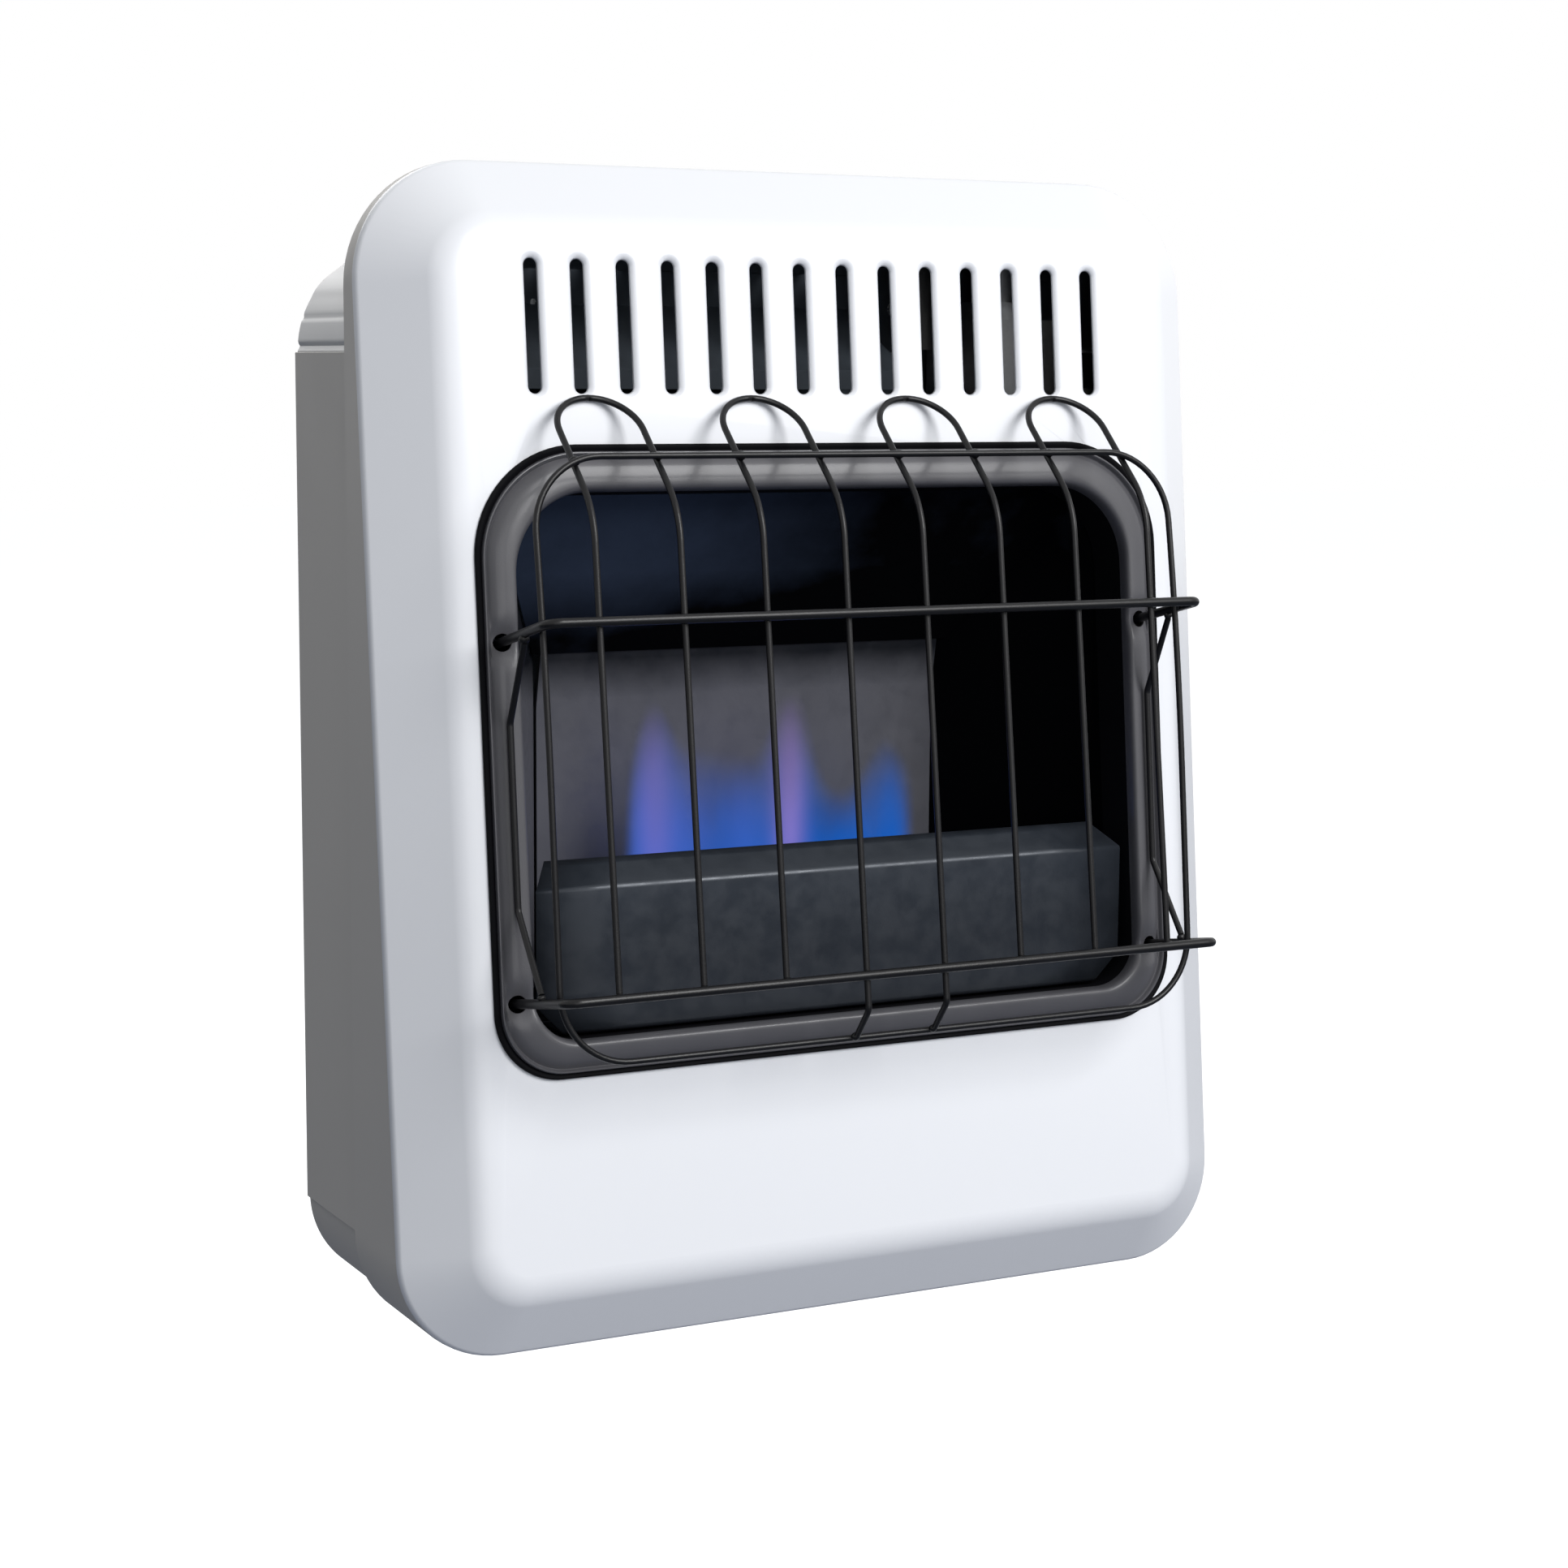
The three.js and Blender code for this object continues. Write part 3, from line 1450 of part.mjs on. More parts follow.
// Assembly
const heater = new THREE.Group();
heater.position.set(0, 0, -bracket_height);
const face = new THREE.Group();
face.applyMatrix4(face_frame);
heater.add(face);

function add(group, name, geometry, material) {
  const mesh = new THREE.Mesh(welded(geometry), material);
  mesh.name = name;
  group.add(mesh);
}

add(heater, 'wall_bracket', wall_bracket(), zinc);
add(heater, 'back_panel', back_panel(), light_case);
add(heater, 'case_top', case_top(), light_case);
add(heater, 'case_bottom', case_bottom(), grey_case);
add(heater, 'side_plate_left', side_plate(-1), grey_case);
add(heater, 'side_plate_right', side_plate(1), grey_case);
add(heater, 'front_panel', front_panel(), white_enamel);
add(heater, 'panel_hanger_left', panel_hanger(-1), light_case);
add(heater, 'panel_hanger_right', panel_hanger(1), light_case);
screw_places.forEach((x) => add(heater, `panel_screw_${x < 0 ? 'left' : 'right'}`, panel_screw(x), zinc));

add(face, 'bezel', bezel(), dark_powder);
add(face, 'guard_upper_rod', guard_rod(upper_rod_hole, upper_rod_lift, upper_rod_reach), guard_powder);
add(face, 'guard_lower_rod', guard_rod(lower_rod_hole, lower_rod_lift, lower_rod_reach), guard_powder);
add(face, 'guard_hoop', guard_hoop(), guard_powder);
for (let number = 0; number < loop_count; number += 1) {
  add(face, `guard_loop_${number + 1}`, guard_loop(number), guard_powder);
}
add(face, 'guard_side_wire_left', guard_side_wire(-1), guard_powder);
add(face, 'guard_side_wire_right', guard_side_wire(1), guard_powder);

add(heater, 'firebox_back', firebox_back(), soot_black);
add(heater, 'firebox_left', firebox_side(-1), soot_black);
add(heater, 'firebox_right', firebox_side(1), soot_black);
add(heater, 'firebox_hood', firebox_hood(), soot_black);
add(heater, 'firebox_floor', firebox_floor(), soot_black);
Object.entries(rail_rises).forEach(([name, rise]) => add(heater, name, chamber_rail(rise), zinc));
add(heater, 'heat_deflector', heat_deflector(), zinc);
add(heater, 'burner_cover', burner_cover(), cover_black);

add(heater, 'burner_body', burner_body(), stainless);
add(heater, 'burner_deck', burner_deck(), stainless);
add(heater, 'burner_bracket_left', burner_bracket(-1), zinc);
add(heater, 'burner_bracket_right', burner_bracket(1), zinc);
add(heater, 'orifice', orifice(), brass);
add(heater, 'orifice_bracket', orifice_bracket(), zinc);

add(heater, 'pilot_bracket', pilot_bracket(), stainless);
const [electrode_x, pilot_burner_x, thermocouple_x] = pilot_places;
add(
  heater,
  'pilot_burner',
  shelf_piece(pilot_burner_x, pilot_radius, pilot_foot, pilot_tip, pilot_radius),
  brass,
);
add(
  heater,
  'pilot_electrode',
  shelf_piece(electrode_x, electrode_radius, pilot_foot, pilot_tip, electrode_pin_radius),
  ceramic,
);
add(
  heater,
  'thermocouple',
  shelf_piece(thermocouple_x, thermocouple_radius, pilot_foot, pilot_tip, thermocouple_radius / 2),
  stainless,
);

add(heater, 'gas_valve', gas_valve(), cast_alloy);
add(heater, 'valve_plunger', valve_plunger(), stainless);
add(heater, 'valve_stem', valve_stem(), stainless);
add(heater, 'control_knob', control_knob(), black_plastic);
add(heater, 'control_plate', control_plate(), black_plastic);
add(heater, 'piezo_igniter', piezo_igniter(), black_plastic);
add(heater, 'piezo_button', piezo_button(), red_plastic);
add(heater, 'regulator', regulator(), cast_alloy);
add(heater, 'regulator_bracket', regulator_bracket(), zinc);
add(heater, 'inlet_fitting', inlet_fitting(), brass);
add(heater, 'supply_tube', supply_tube(), stainless);
add(heater, 'manifold_tube', manifold_tube(), stainless);
add(heater, 'pilot_tube', pilot_tube(), copper);
add(heater, 'thermocouple_lead', thermocouple_lead(), copper);
add(heater, 'igniter_wire', igniter_wire(), silicone);
add(heater, 'thermostat_bulb', thermostat_bulb(), copper);
add(heater, 'bulb_clip', bulb_clip(), zinc);
add(heater, 'capillary', capillary(), copper);

export default heater;
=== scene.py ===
# Looks of a wall-hung vent-free blue flame heater, built round its packed solids.
# Metres, +Z up, +X to the viewer's right, +Y into the wall, from the middle of the wall bracket.

import json
from math import acos, atan2, cos, exp, hypot, pi, radians, sin, sqrt, tan
from types import SimpleNamespace

import bmesh
import bpy
from bpy.props import FloatProperty, FloatVectorProperty, IntProperty, PointerProperty
from bpy.types import NodeSocket, Operator, Panel, PropertyGroup
from mathutils import Matrix, Vector, geometry


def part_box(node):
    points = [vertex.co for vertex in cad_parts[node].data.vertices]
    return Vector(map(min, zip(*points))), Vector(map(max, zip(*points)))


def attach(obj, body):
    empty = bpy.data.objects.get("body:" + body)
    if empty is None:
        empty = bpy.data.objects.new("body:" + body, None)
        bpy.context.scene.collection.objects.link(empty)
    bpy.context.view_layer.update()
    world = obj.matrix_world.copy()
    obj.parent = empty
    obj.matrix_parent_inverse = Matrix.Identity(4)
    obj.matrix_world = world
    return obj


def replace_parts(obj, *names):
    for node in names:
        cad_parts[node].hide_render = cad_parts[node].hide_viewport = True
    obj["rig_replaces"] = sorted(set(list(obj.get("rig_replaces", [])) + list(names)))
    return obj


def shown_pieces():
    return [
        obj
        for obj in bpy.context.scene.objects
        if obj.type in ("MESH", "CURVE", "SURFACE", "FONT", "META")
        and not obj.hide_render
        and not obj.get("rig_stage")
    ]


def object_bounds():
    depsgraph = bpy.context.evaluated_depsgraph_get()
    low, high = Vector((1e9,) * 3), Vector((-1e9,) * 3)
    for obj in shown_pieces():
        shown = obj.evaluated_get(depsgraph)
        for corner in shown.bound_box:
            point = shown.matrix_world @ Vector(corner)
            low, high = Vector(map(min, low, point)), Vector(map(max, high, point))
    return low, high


bl_info = {
    "name": "Blue Flame Wall Heater",
    "version": (1, 0, 0),
    "blender": (4, 5, 0),
    "location": "View3D > Sidebar > Heater",
    "description": "Enamel panel, bezel, wire guard, case, controls, flames and stage",
    "category": "Object",
}

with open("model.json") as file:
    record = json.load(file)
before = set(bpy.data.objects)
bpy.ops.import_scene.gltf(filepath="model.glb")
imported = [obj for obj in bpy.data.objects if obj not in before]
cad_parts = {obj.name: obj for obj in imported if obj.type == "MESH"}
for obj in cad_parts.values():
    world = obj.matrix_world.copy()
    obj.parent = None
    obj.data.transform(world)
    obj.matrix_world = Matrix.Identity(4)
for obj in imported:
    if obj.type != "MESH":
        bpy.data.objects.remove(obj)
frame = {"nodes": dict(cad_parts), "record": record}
CAD_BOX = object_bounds()
HOUSING = "housing"
OUT = Vector((0, -1, 0))
MERGE = 1e-6
SMOOTH_ANGLE = radians(32)
TURNED_ANGLE = radians(40)
# Depth of the face's middle, and of the edge where the panel's side ends
FACE_DEPTH = -0.126
PANEL_REAR = -0.069
RIM_DEPTH = 0.005
# Corner radii of the bezel at its outer and its inner edge
BEZEL_LOW_CORNER = (0.0287, 0.020)
BEZEL_HIGH_CORNER = (0.0459, 0.034)
# Guard: gap at a weld, the rods' inset from the bezel's edge, the outer legs' from the rods' ends
SEAT = 0.0003
ROD_INSET = 0.0099
LEG_INSET = 0.0235


# Settings
def length(name, description, default):
    return FloatProperty(name=name, description=description, default=default, unit="LENGTH")


def colour(name, description, default):
    return FloatVectorProperty(
        name=name, description=description, default=default, subtype="COLOR", min=0, max=1
    )


class HeaterPanelSettings(PropertyGroup):
    """Sizes of the front panel"""

    width: length("Width", "Across the panel's rim", 0.400)
    height: length("Height", "Up the leaning face", 0.493)
    radius: length("Corner", "Corner radius at the rim", 0.0513)
    low_radius: length("Low corner", "Lower corner radius at the rim", 0.0445)
    low_share: FloatProperty(
        name="Low corner share", description="How fast the lower corners tighten inwards",
        default=0.86,
    )
    lean: FloatProperty(
        name="Lean", description="Angle of the face", default=radians(5.56), unit="ROTATION"
    )
    bevel_width: length("Bevel width", "Width of the sloping edge", 0.029)
    bevel_depth: length("Bevel depth", "Depth of the sloping edge", 0.026)
    crest: length("Crest bend", "Bend from the face to the slope", 0.020)
    rim: length("Rim bend", "Bend from the slope to the side", 0.005)
    slots: IntProperty(name="Slots", description="Warm air slots in a row", default=14, min=2)
    slot_margin: length("Slot margin", "From the rim to the first slot", 0.0667)
    slot_length: length("Slot length", "Length of one slot", 0.0546)
    slot_width: length("Slot width", "Width of one slot", 0.0057)
    slot_rise: length("Slot rise", "Middle of the slots on the face", 0.1764)
    slot_roll: length("Slot roll", "Width of the slot's pressed edge", 0.0030)
    slot_press: length("Slot press", "Depth of the slot's pressed edge", 0.0021)
    sheet: length("Sheet", "Thickness of the steel", 0.0010)


class HeaterBezelSettings(PropertyGroup):
    """Sizes of the bezel round the opening"""

    margin: length("Margin", "From the panel's rim to the bezel", 0.0364)
    height: length("Height", "Outer height of the bezel", 0.2586)
    drop: length("Drop", "Middle of the bezel below the face's middle", 0.001)
    side: length("Side", "Width of the frame at the sides", 0.0172)
    top: length("Top", "Width of the frame at the top", 0.0194)
    foot: length("Foot", "Width of the frame at the foot", 0.0156)
    crest: length("Crest", "Height of the frame's roll", 0.0046)
    throat: length("Throat", "Depth of the frame's inner wall", 0.022)
    # Past this depth the bezel's inner wall is painted black: painted shade in the throat.
    seal_edge: length("Seal edge", "Depth where the inner wall turns black", 0.0016)


class HeaterGuardSettings(PropertyGroup):
    """Sizes of the wire guard"""

    rod: length("Rod", "Diameter of the two cross rods", 0.0040)
    wire: length("Wire", "Diameter of the other wires", 0.0027)
    loops: IntProperty(name="Loops", description="Upright wire loops", default=4, min=1)
    bead: length("Weld", "Radius of a weld bead", 0.0019)


class HeaterColourSettings(PropertyGroup):
    """Colours of the finishes, as linear values"""

    enamel: colour("Enamel", "White enamel of the front panel", (0.84, 0.85, 0.88))
    powder: colour("Powder coat", "Dark powder coat of the bezel", (0.077, 0.076, 0.084))
    wire: colour("Guard", "Powder coat of the guard", (0.0042, 0.0042, 0.0050))
    # Also the grey of the painted shade on the front panel's turned side.
    side: colour("Side plates", "Grey paint of the sides", (0.61, 0.58, 0.54))
    shell: colour("Case", "Coated steel of the case's top and foot", (0.70, 0.695, 0.69))
    flame: colour("Flame", "Blue of the burner's flames", (0.004, 0.108, 0.52))


class HeaterStageSettings(PropertyGroup):
    """Camera, lamps and floor"""

    floor_drop: length("Floor drop", "Floor below the heater's lowest edge", 0.22)
    lens: FloatProperty(
        name="Lens", description="Focal length on a 36 mm sensor, in millimetres", default=70.53
    )
    key: FloatProperty(
        name="Key", description="Power of the main lamp", default=86.0, unit="POWER"
    )
    fill: FloatProperty(name="Fill", description="Strength of the room's light", default=0.21)


# Geometry helpers
def rounded_route(corners, bends, steps):
    """Flat corner points joined by straights and round bends."""
    corners = [Vector(corner) for corner in corners]
    route = corners[:1]
    for index, bend in enumerate(bends, 1):
        corner = corners[index]
        back = (corners[index - 1] - corner).normalized()
        ahead = (corners[index + 1] - corner).normalized()
        half = acos(max(-1.0, min(1.0, back.dot(ahead)))) / 2
        centre = corner + (back + ahead).normalized() * (bend / sin(half))
        setback = bend / tan(half)
        start = corner + back * setback - centre
        end = corner + ahead * setback - centre
        turn = pi - 2 * half
        for step in range(steps + 1):
            share = step / steps
            arm = start * (sin((1 - share) * turn) / sin(turn))
            route.append(centre + (arm + end * (sin(share * turn) / sin(turn))))
    return route + corners[-1:]


def round_rect(half, low, high, low_radius, high_radius, steps=16):
    """Outline with round corners, counter-clockwise, as (across, up)."""
    corners = (
        (half - high_radius, high - high_radius, high_radius),
        (high_radius - half, high - high_radius, high_radius),
        (low_radius - half, low + low_radius, low_radius),
        (half - low_radius, low + low_radius, low_radius),
    )
    outline = []
    for quarter, (x, z, radius) in enumerate(corners):
        for step in range(steps + 1):
            angle = (quarter + step / steps) * pi / 2
            outline.append((x + radius * cos(angle), z + radius * sin(angle)))
    return outline


def spaced(outline, parts_in):
    """A closed outline whose sides are split into as many parts as the rule gives."""
    points = []
    for (x, z), (next_x, next_z) in zip(outline, outline[1:] + outline[:1]):
        parts = parts_in(hypot(next_x - x, next_z - z))
        for part in range(parts):
            share = part / parts
            points.append((x + (next_x - x) * share, z + (next_z - z) * share))
    return points


def offset_line(line, distance):
    """The line beside an open flat line, to its left by the distance."""
    steps = [(ahead - here).normalized() for here, ahead in zip(line, line[1:])]
    beside = []
    for point, into, out in zip(line, steps[:1] + steps, steps + steps[-1:]):
        side = Vector((-into.y - out.y, into.x + out.x)).normalized()
        stretch = distance / side.dot(Vector((-into.y, into.x)))
        beside.append(point + side * stretch)
    return beside


def ring_faces(rings, count, closed=False, first=0):
    """Quads between like rings of points."""
    faces = []
    for ring in range(rings if closed else rings - 1):
        here, above = first + ring * count, first + (ring + 1) % rings * count
        for index in range(count):
            follow = (index + 1) % count
            faces.append((here + index, here + follow, above + follow, above + index))
    return faces


def grid_faces(rows, count):
    """Quads between like open rows of points."""
    firsts = [row * count + index for row in range(rows - 1) for index in range(count - 1)]
    return [(first, first + 1, first + count + 1, first + count) for first in firsts]


def new_object(name, data):
    piece = bpy.data.objects.new(name, data)
    bpy.context.scene.collection.objects.link(piece)
    return piece


def new_mesh(name, points, edges=(), faces=()):
    mesh = bpy.data.meshes.new(name)
    mesh.from_pydata(points, edges, faces)
    return mesh


def soften(mesh, angle=SMOOTH_ANGLE):
    mesh.shade_smooth()
    mesh.set_sharp_from_angle(angle=angle)


def merged(mesh, distance, finish):
    """Merges the mesh's doubles and finishes it with smooth bends."""
    work = bmesh.new()
    work.from_mesh(mesh)
    bmesh.ops.remove_doubles(work, verts=work.verts, dist=distance)
    finish(work)
    work.to_mesh(mesh)
    work.free()
    soften(mesh)
    return new_object(mesh.name, mesh)


def skin(name, points, faces):
    """A mesh object with doubles merged, faces outwards and smooth bends."""
    return merged(
        new_mesh(name, points, faces=faces), MERGE,
        lambda work: bmesh.ops.recalc_face_normals(work, faces=work.faces),
    )


def loose_copy(name, node):
    """A merged copy of a CAD node's mesh, as a piece of its own."""
    mesh = frame["nodes"][node].data.copy()
    mesh.name = name
    normals = mesh.attributes.get("custom_normal")
    if normals:
        mesh.attributes.remove(normals)
    return merged(
        mesh, 2 * MERGE,
        lambda work: bmesh.ops.dissolve_limit(
            work, angle_limit=radians(0.5), verts=work.verts, edges=work.edges
        ),
    )


def facing(piece, point, direction):
    """Turns the piece's faces round where the face nearest to the point looks away."""
    nearest = min(piece.data.polygons, key=lambda face: (face.center - point).length)
    if nearest.normal.dot(direction) < 0:
        piece.data.flip_normals()


def baked(piece):
    """Applies every modifier of the piece to its mesh."""
    depsgraph = bpy.context.evaluated_depsgraph_get()
    mesh = bpy.data.meshes.new_from_object(piece.evaluated_get(depsgraph), depsgraph=depsgraph)
    piece.modifiers.clear()
    old = piece.data
    piece.data = mesh
    mesh.name = piece.name
    bpy.data.meshes.remove(old)


def modified(piece, name, kind, **settings):
    """Adds a modifier with its settings."""
    modifier = piece.modifiers.new(name, kind)
    for key, value in settings.items():
        setattr(modifier, key, value)


def thicken(piece, thickness, **settings):
    """Gives a skin the thickness of its sheet, inwards."""
    modified(
        piece, "Sheet", "SOLIDIFY", thickness=thickness, offset=-1, use_even_offset=True,
        **settings,
    )


def round_edges(piece, width):
    modified(
        piece, "Edges", "BEVEL", width=width, segments=2, limit_method="ANGLE",
        angle_limit=radians(35), harden_normals=True,
    )


def weighted(piece):
    modified(piece, "Shading", "WEIGHTED_NORMAL", keep_sharp=True, weight=100)


def mark_points(mesh, name, values, kind="FLOAT", field="value"):
    """Stores a value for each point of a mesh."""
    mesh.attributes.new(name, kind, "POINT").data.foreach_set(field, values)


def path_object(name, place, paths, closed=False):
    """Edges along rows of (x, y, z, bend) in the frame of the place."""
    spots, edges = [], []
    for path in paths:
        first = len(spots)
        spots.extend(path)
        edges.extend((first + step, first + step + 1) for step in range(len(path) - 1))
        if closed:
            edges.append((len(spots) - 1, first))
    mesh = new_mesh(name, [place @ Vector(spot[:3]) for spot in spots], edges)
    mark_points(mesh, "bend", [spot[3] for spot in spots])
    return new_object(name, mesh)


def dress(piece, material, body, slot, *nodes):
    """Gives a finished piece its material, body and the nodes it stands for; the slot is not used.
    """
    piece.data.materials.clear()
    piece.data.materials.append(material)
    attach(piece, body)
    if nodes:
        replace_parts(piece, *nodes)


def lined(piece, material, chosen):
    """Gives another finish to the faces that the test picks."""
    piece.data.materials.append(material)
    last = len(piece.data.materials) - 1
    for face in piece.data.polygons:
        if chosen(face):
            face.material_index = last


# Node trees
def fill(tree, node, inputs):
    """Gives a node's inputs their values, or joins them to the sockets of other nodes."""
    for key, given in inputs.items():
        for value in given if isinstance(given, list) else [given]:
            if isinstance(value, NodeSocket):
                tree.links.new(value, node.inputs[key])
            else:
                node.inputs[key].default_value = value


def add(tree, kind, inputs=None, **settings):
    """Adds a node with its settings and inputs, and gives its outputs."""
    node = tree.nodes.new(kind)
    for key, value in settings.items():
        setattr(node, key, value)
    fill(tree, node, inputs or {})
    return node.outputs


def geometry_tree(name, sockets):
    """A tree with the named inputs between its geometry and its material."""
    tree = bpy.data.node_groups.new(name, "GeometryNodeTree")
    for label, kind in (("Geometry", "Geometry"), *sockets, ("Material", "Material")):
        tree.interface.new_socket(label, in_out="INPUT", socket_type="NodeSocket" + kind)
    tree.interface.new_socket("Geometry", in_out="OUTPUT", socket_type="NodeSocketGeometry")
    return tree, tree.nodes.new("NodeGroupInput").outputs


def end_tree(tree, given, made, smooth=True):
    """Ends a tree in Realize Instances and Set Material."""
    if smooth:
        made = add(tree, "GeometryNodeSetShadeSmooth", {"Geometry": made})["Geometry"]
    real = add(tree, "GeometryNodeRealizeInstances", {"Geometry": made})
    paint = add(
        tree, "GeometryNodeSetMaterial",
        {"Geometry": real["Geometry"], "Material": given["Material"]},
    )
    add(tree, "NodeGroupOutput", {"Geometry": paint["Geometry"]})
    return tree


def grown(piece, tree, values):
    """Runs a tree on the piece and keeps the plain mesh that it makes."""
    modifier = piece.modifiers.new(tree.name, "NODES")
    modifier.node_group = tree
    for socket in tree.interface.items_tree:
        if socket.in_out == "INPUT" and socket.name in values:
            modifier[socket.identifier] = values[socket.name]
    baked(piece)


def wire_tree():
    """A round wire along a path whose corners carry their bend radius."""
    tree, given = geometry_tree(
        "Wire along path", (("Radius", "Float"), ("Sides", "Int"), ("Bend steps", "Int"))
    )
    path = add(tree, "GeometryNodeMeshToCurve", {"Mesh": given["Geometry"]})
    bend = add(tree, "GeometryNodeInputNamedAttribute", {"Name": "bend"}, data_type="FLOAT")
    fillet = add(
        tree, "GeometryNodeFilletCurve",
        {"Curve": path["Curve"], "Radius": bend["Attribute"], "Count": given["Bend steps"]},
        mode="POLY",
    )
    circle = add(
        tree, "GeometryNodeCurvePrimitiveCircle",
        {"Resolution": given["Sides"], "Radius": given["Radius"]},
    )
    sweep = add(
        tree, "GeometryNodeCurveToMesh",
        {"Curve": fillet["Curve"], "Profile Curve": circle["Curve"], "Fill Caps": True},
    )
    return end_tree(tree, given, sweep["Mesh"])


def bead_tree():
    """Flattened beads of weld at given points."""
    tree, given = geometry_tree(
        "Weld beads", (("Radius", "Float"), ("Stretch", "Vector"), ("Seed", "Int"))
    )
    points = add(tree, "GeometryNodeMeshToPoints", {"Mesh": given["Geometry"]})
    bead = add(
        tree, "GeometryNodeMeshUVSphere", {"Segments": 12, "Rings": 8, "Radius": given["Radius"]}
    )
    size = add(
        tree, "FunctionNodeRandomValue", {2: 0.85, 3: 1.15, "Seed": given["Seed"]},
        data_type="FLOAT",
    )
    scale = add(
        tree, "ShaderNodeVectorMath", {0: given["Stretch"], "Scale": size[1]}, operation="SCALE"
    )
    place = add(
        tree, "GeometryNodeInstanceOnPoints",
        {"Points": points["Points"], "Instance": bead["Mesh"], "Scale": scale["Vector"]},
    )
    return end_tree(tree, given, place["Instances"])


def vent_tree():
    """A sheet with a row of slots cut through it."""
    tree, given = geometry_tree(
        "Vented sheet",
        (("Count", "Int"), ("Start", "Vector"), ("Pitch", "Vector"), ("Slot", "Vector")),
    )
    row = add(
        tree, "GeometryNodeMeshLine",
        {"Count": given["Count"], "Start Location": given["Start"], "Offset": given["Pitch"]},
    )
    slot = add(tree, "GeometryNodeMeshCube", {"Size": given["Slot"]})
    place = add(
        tree, "GeometryNodeInstanceOnPoints", {"Points": row["Mesh"], "Instance": slot["Mesh"]}
    )
    cutters = add(tree, "GeometryNodeRealizeInstances", {"Geometry": place["Instances"]})
    cut = add(
        tree, "GeometryNodeMeshBoolean",
        {"Mesh 1": given["Geometry"], "Mesh 2": cutters["Geometry"]},
        operation="DIFFERENCE", solver="EXACT",
    )
    return end_tree(tree, given, cut["Mesh"], smooth=False)


def screw_tree():
    """Pan heads with a cross recess at given points, turned as the points say."""
    tree, given = geometry_tree("Cross screws", (("Radius", "Float"), ("Rise", "Float")))
    head = add(tree, "GeometryNodeMeshUVSphere", {"Segments": 24, "Rings": 14, "Radius": 1.0})
    cross = []
    for size in ((1.0, 0.24, 0.9), (0.24, 1.0, 0.9)):
        slot = add(tree, "GeometryNodeMeshCube", {"Size": size})
        lift = {"Geometry": slot["Mesh"], "Translation": (0, 0, 1.05)}
        cross.append(add(tree, "GeometryNodeTransform", lift)["Geometry"])
    recess = add(
        tree, "GeometryNodeMeshBoolean", {"Mesh 1": head["Mesh"], "Mesh 2": cross},
        operation="DIFFERENCE", solver="EXACT",
    )
    size = add(
        tree, "ShaderNodeCombineXYZ",
        {"X": given["Radius"], "Y": given["Radius"], "Z": given["Rise"]},
    )
    turn = add(
        tree, "GeometryNodeInputNamedAttribute", {"Name": "turn"}, data_type="FLOAT_VECTOR"
    )
    points = add(tree, "GeometryNodeMeshToPoints", {"Mesh": given["Geometry"]})
    place = add(
        tree, "GeometryNodeInstanceOnPoints",
        {
            "Points": points["Points"], "Instance": recess["Mesh"],
            "Rotation": turn["Attribute"], "Scale": size["Vector"],
        },
    )
    return end_tree(tree, given, place["Instances"])


# Finishes
FINISHES = {}


def new_finish(name):
    """Keeps a new material under its name, and gives its node tree."""
    material = FINISHES[name] = bpy.data.materials.new(name)
    material.use_nodes = True
    return material.node_tree


def noise(tree, scale, detail=3.0, roughness=0.5, stretch=None):
    """Noise over the object's own coordinates."""
    source = add(tree, "ShaderNodeTexCoord")["Object"]
    if stretch:
        source = add(tree, "ShaderNodeMapping", {"Vector": source, "Scale": stretch})["Vector"]
    grain = {"Vector": source, "Scale": scale, "Detail": detail, "Roughness": roughness}
    return add(tree, "ShaderNodeTexNoise", grain)["Fac"]


def ranged(tree, factor, low, high, start=0.35, end=0.65):
    """A factor turned into values between low and high."""
    span = {"Value": factor, "From Min": start, "From Max": end, "To Min": low, "To Max": high}
    return add(tree, "ShaderNodeMapRange", span)["Result"]


def blended(tree, factor, tone, other):
    """A colour between two tones."""
    tones = {"Factor": factor, "A": (*tone, 1), "B": (*other, 1)}
    return add(tree, "ShaderNodeMix", tones, data_type="RGBA")["Result"]


def drifted(tree, factor, tone, drift):
    """A colour that wanders a little to both sides of its tone."""
    darker, lighter = (
        [min(1.0, part * share) for part in tone] for share in (1 - drift, 1 + drift)
    )
    return blended(tree, factor, darker, lighter)


def relief(tree, factor, strength, distance=0.0002):
    bump = {"Height": factor, "Strength": strength, "Distance": distance}
    return add(tree, "ShaderNodeBump", bump)["Normal"]


def faced(tree, tone, rough, normal, **values):
    """Fills the tree's principled shader."""
    inputs = {"Base Color": tone, "Roughness": rough, "Normal": normal}
    inputs.update((key.replace("_", " "), value) for key, value in values.items())
    fill(tree, tree.nodes["Principled BSDF"], inputs)


def painted(
    name, tone, rough, grain, bump, coat=0.0, metallic=0.0, drift=0.06, gloss=0.04, shine=0.5
):
    """Paint or powder coat: a fine skin, a slow drift of tone and a varied gloss."""
    tree = new_finish(name)
    faced(
        tree,
        drifted(tree, noise(tree, 9.0, 2.0), tone, drift),
        ranged(tree, noise(tree, 24.0, 2.0), rough - gloss, rough + gloss, 0.2, 0.8),
        relief(tree, noise(tree, grain, 4.0, 0.6), bump, 0.0003),
        Metallic=metallic, Specular_IOR_Level=shine, Coat_Weight=coat, Coat_Roughness=0.18,
    )


def plated(name, tone, rough, stretch=(1.0, 1.0, 1.0), grain=260.0, drift=0.12):
    """Bare or plated metal with a drawn or spangled skin."""
    tree = new_finish(name)
    streak = noise(tree, grain, 5.0, 0.65, stretch)
    faced(
        tree,
        drifted(tree, noise(tree, 22.0, 3.0), tone, drift),
        ranged(tree, streak, rough - 0.09, rough + 0.09),
        relief(tree, streak, 0.15),
        Metallic=1.0,
    )


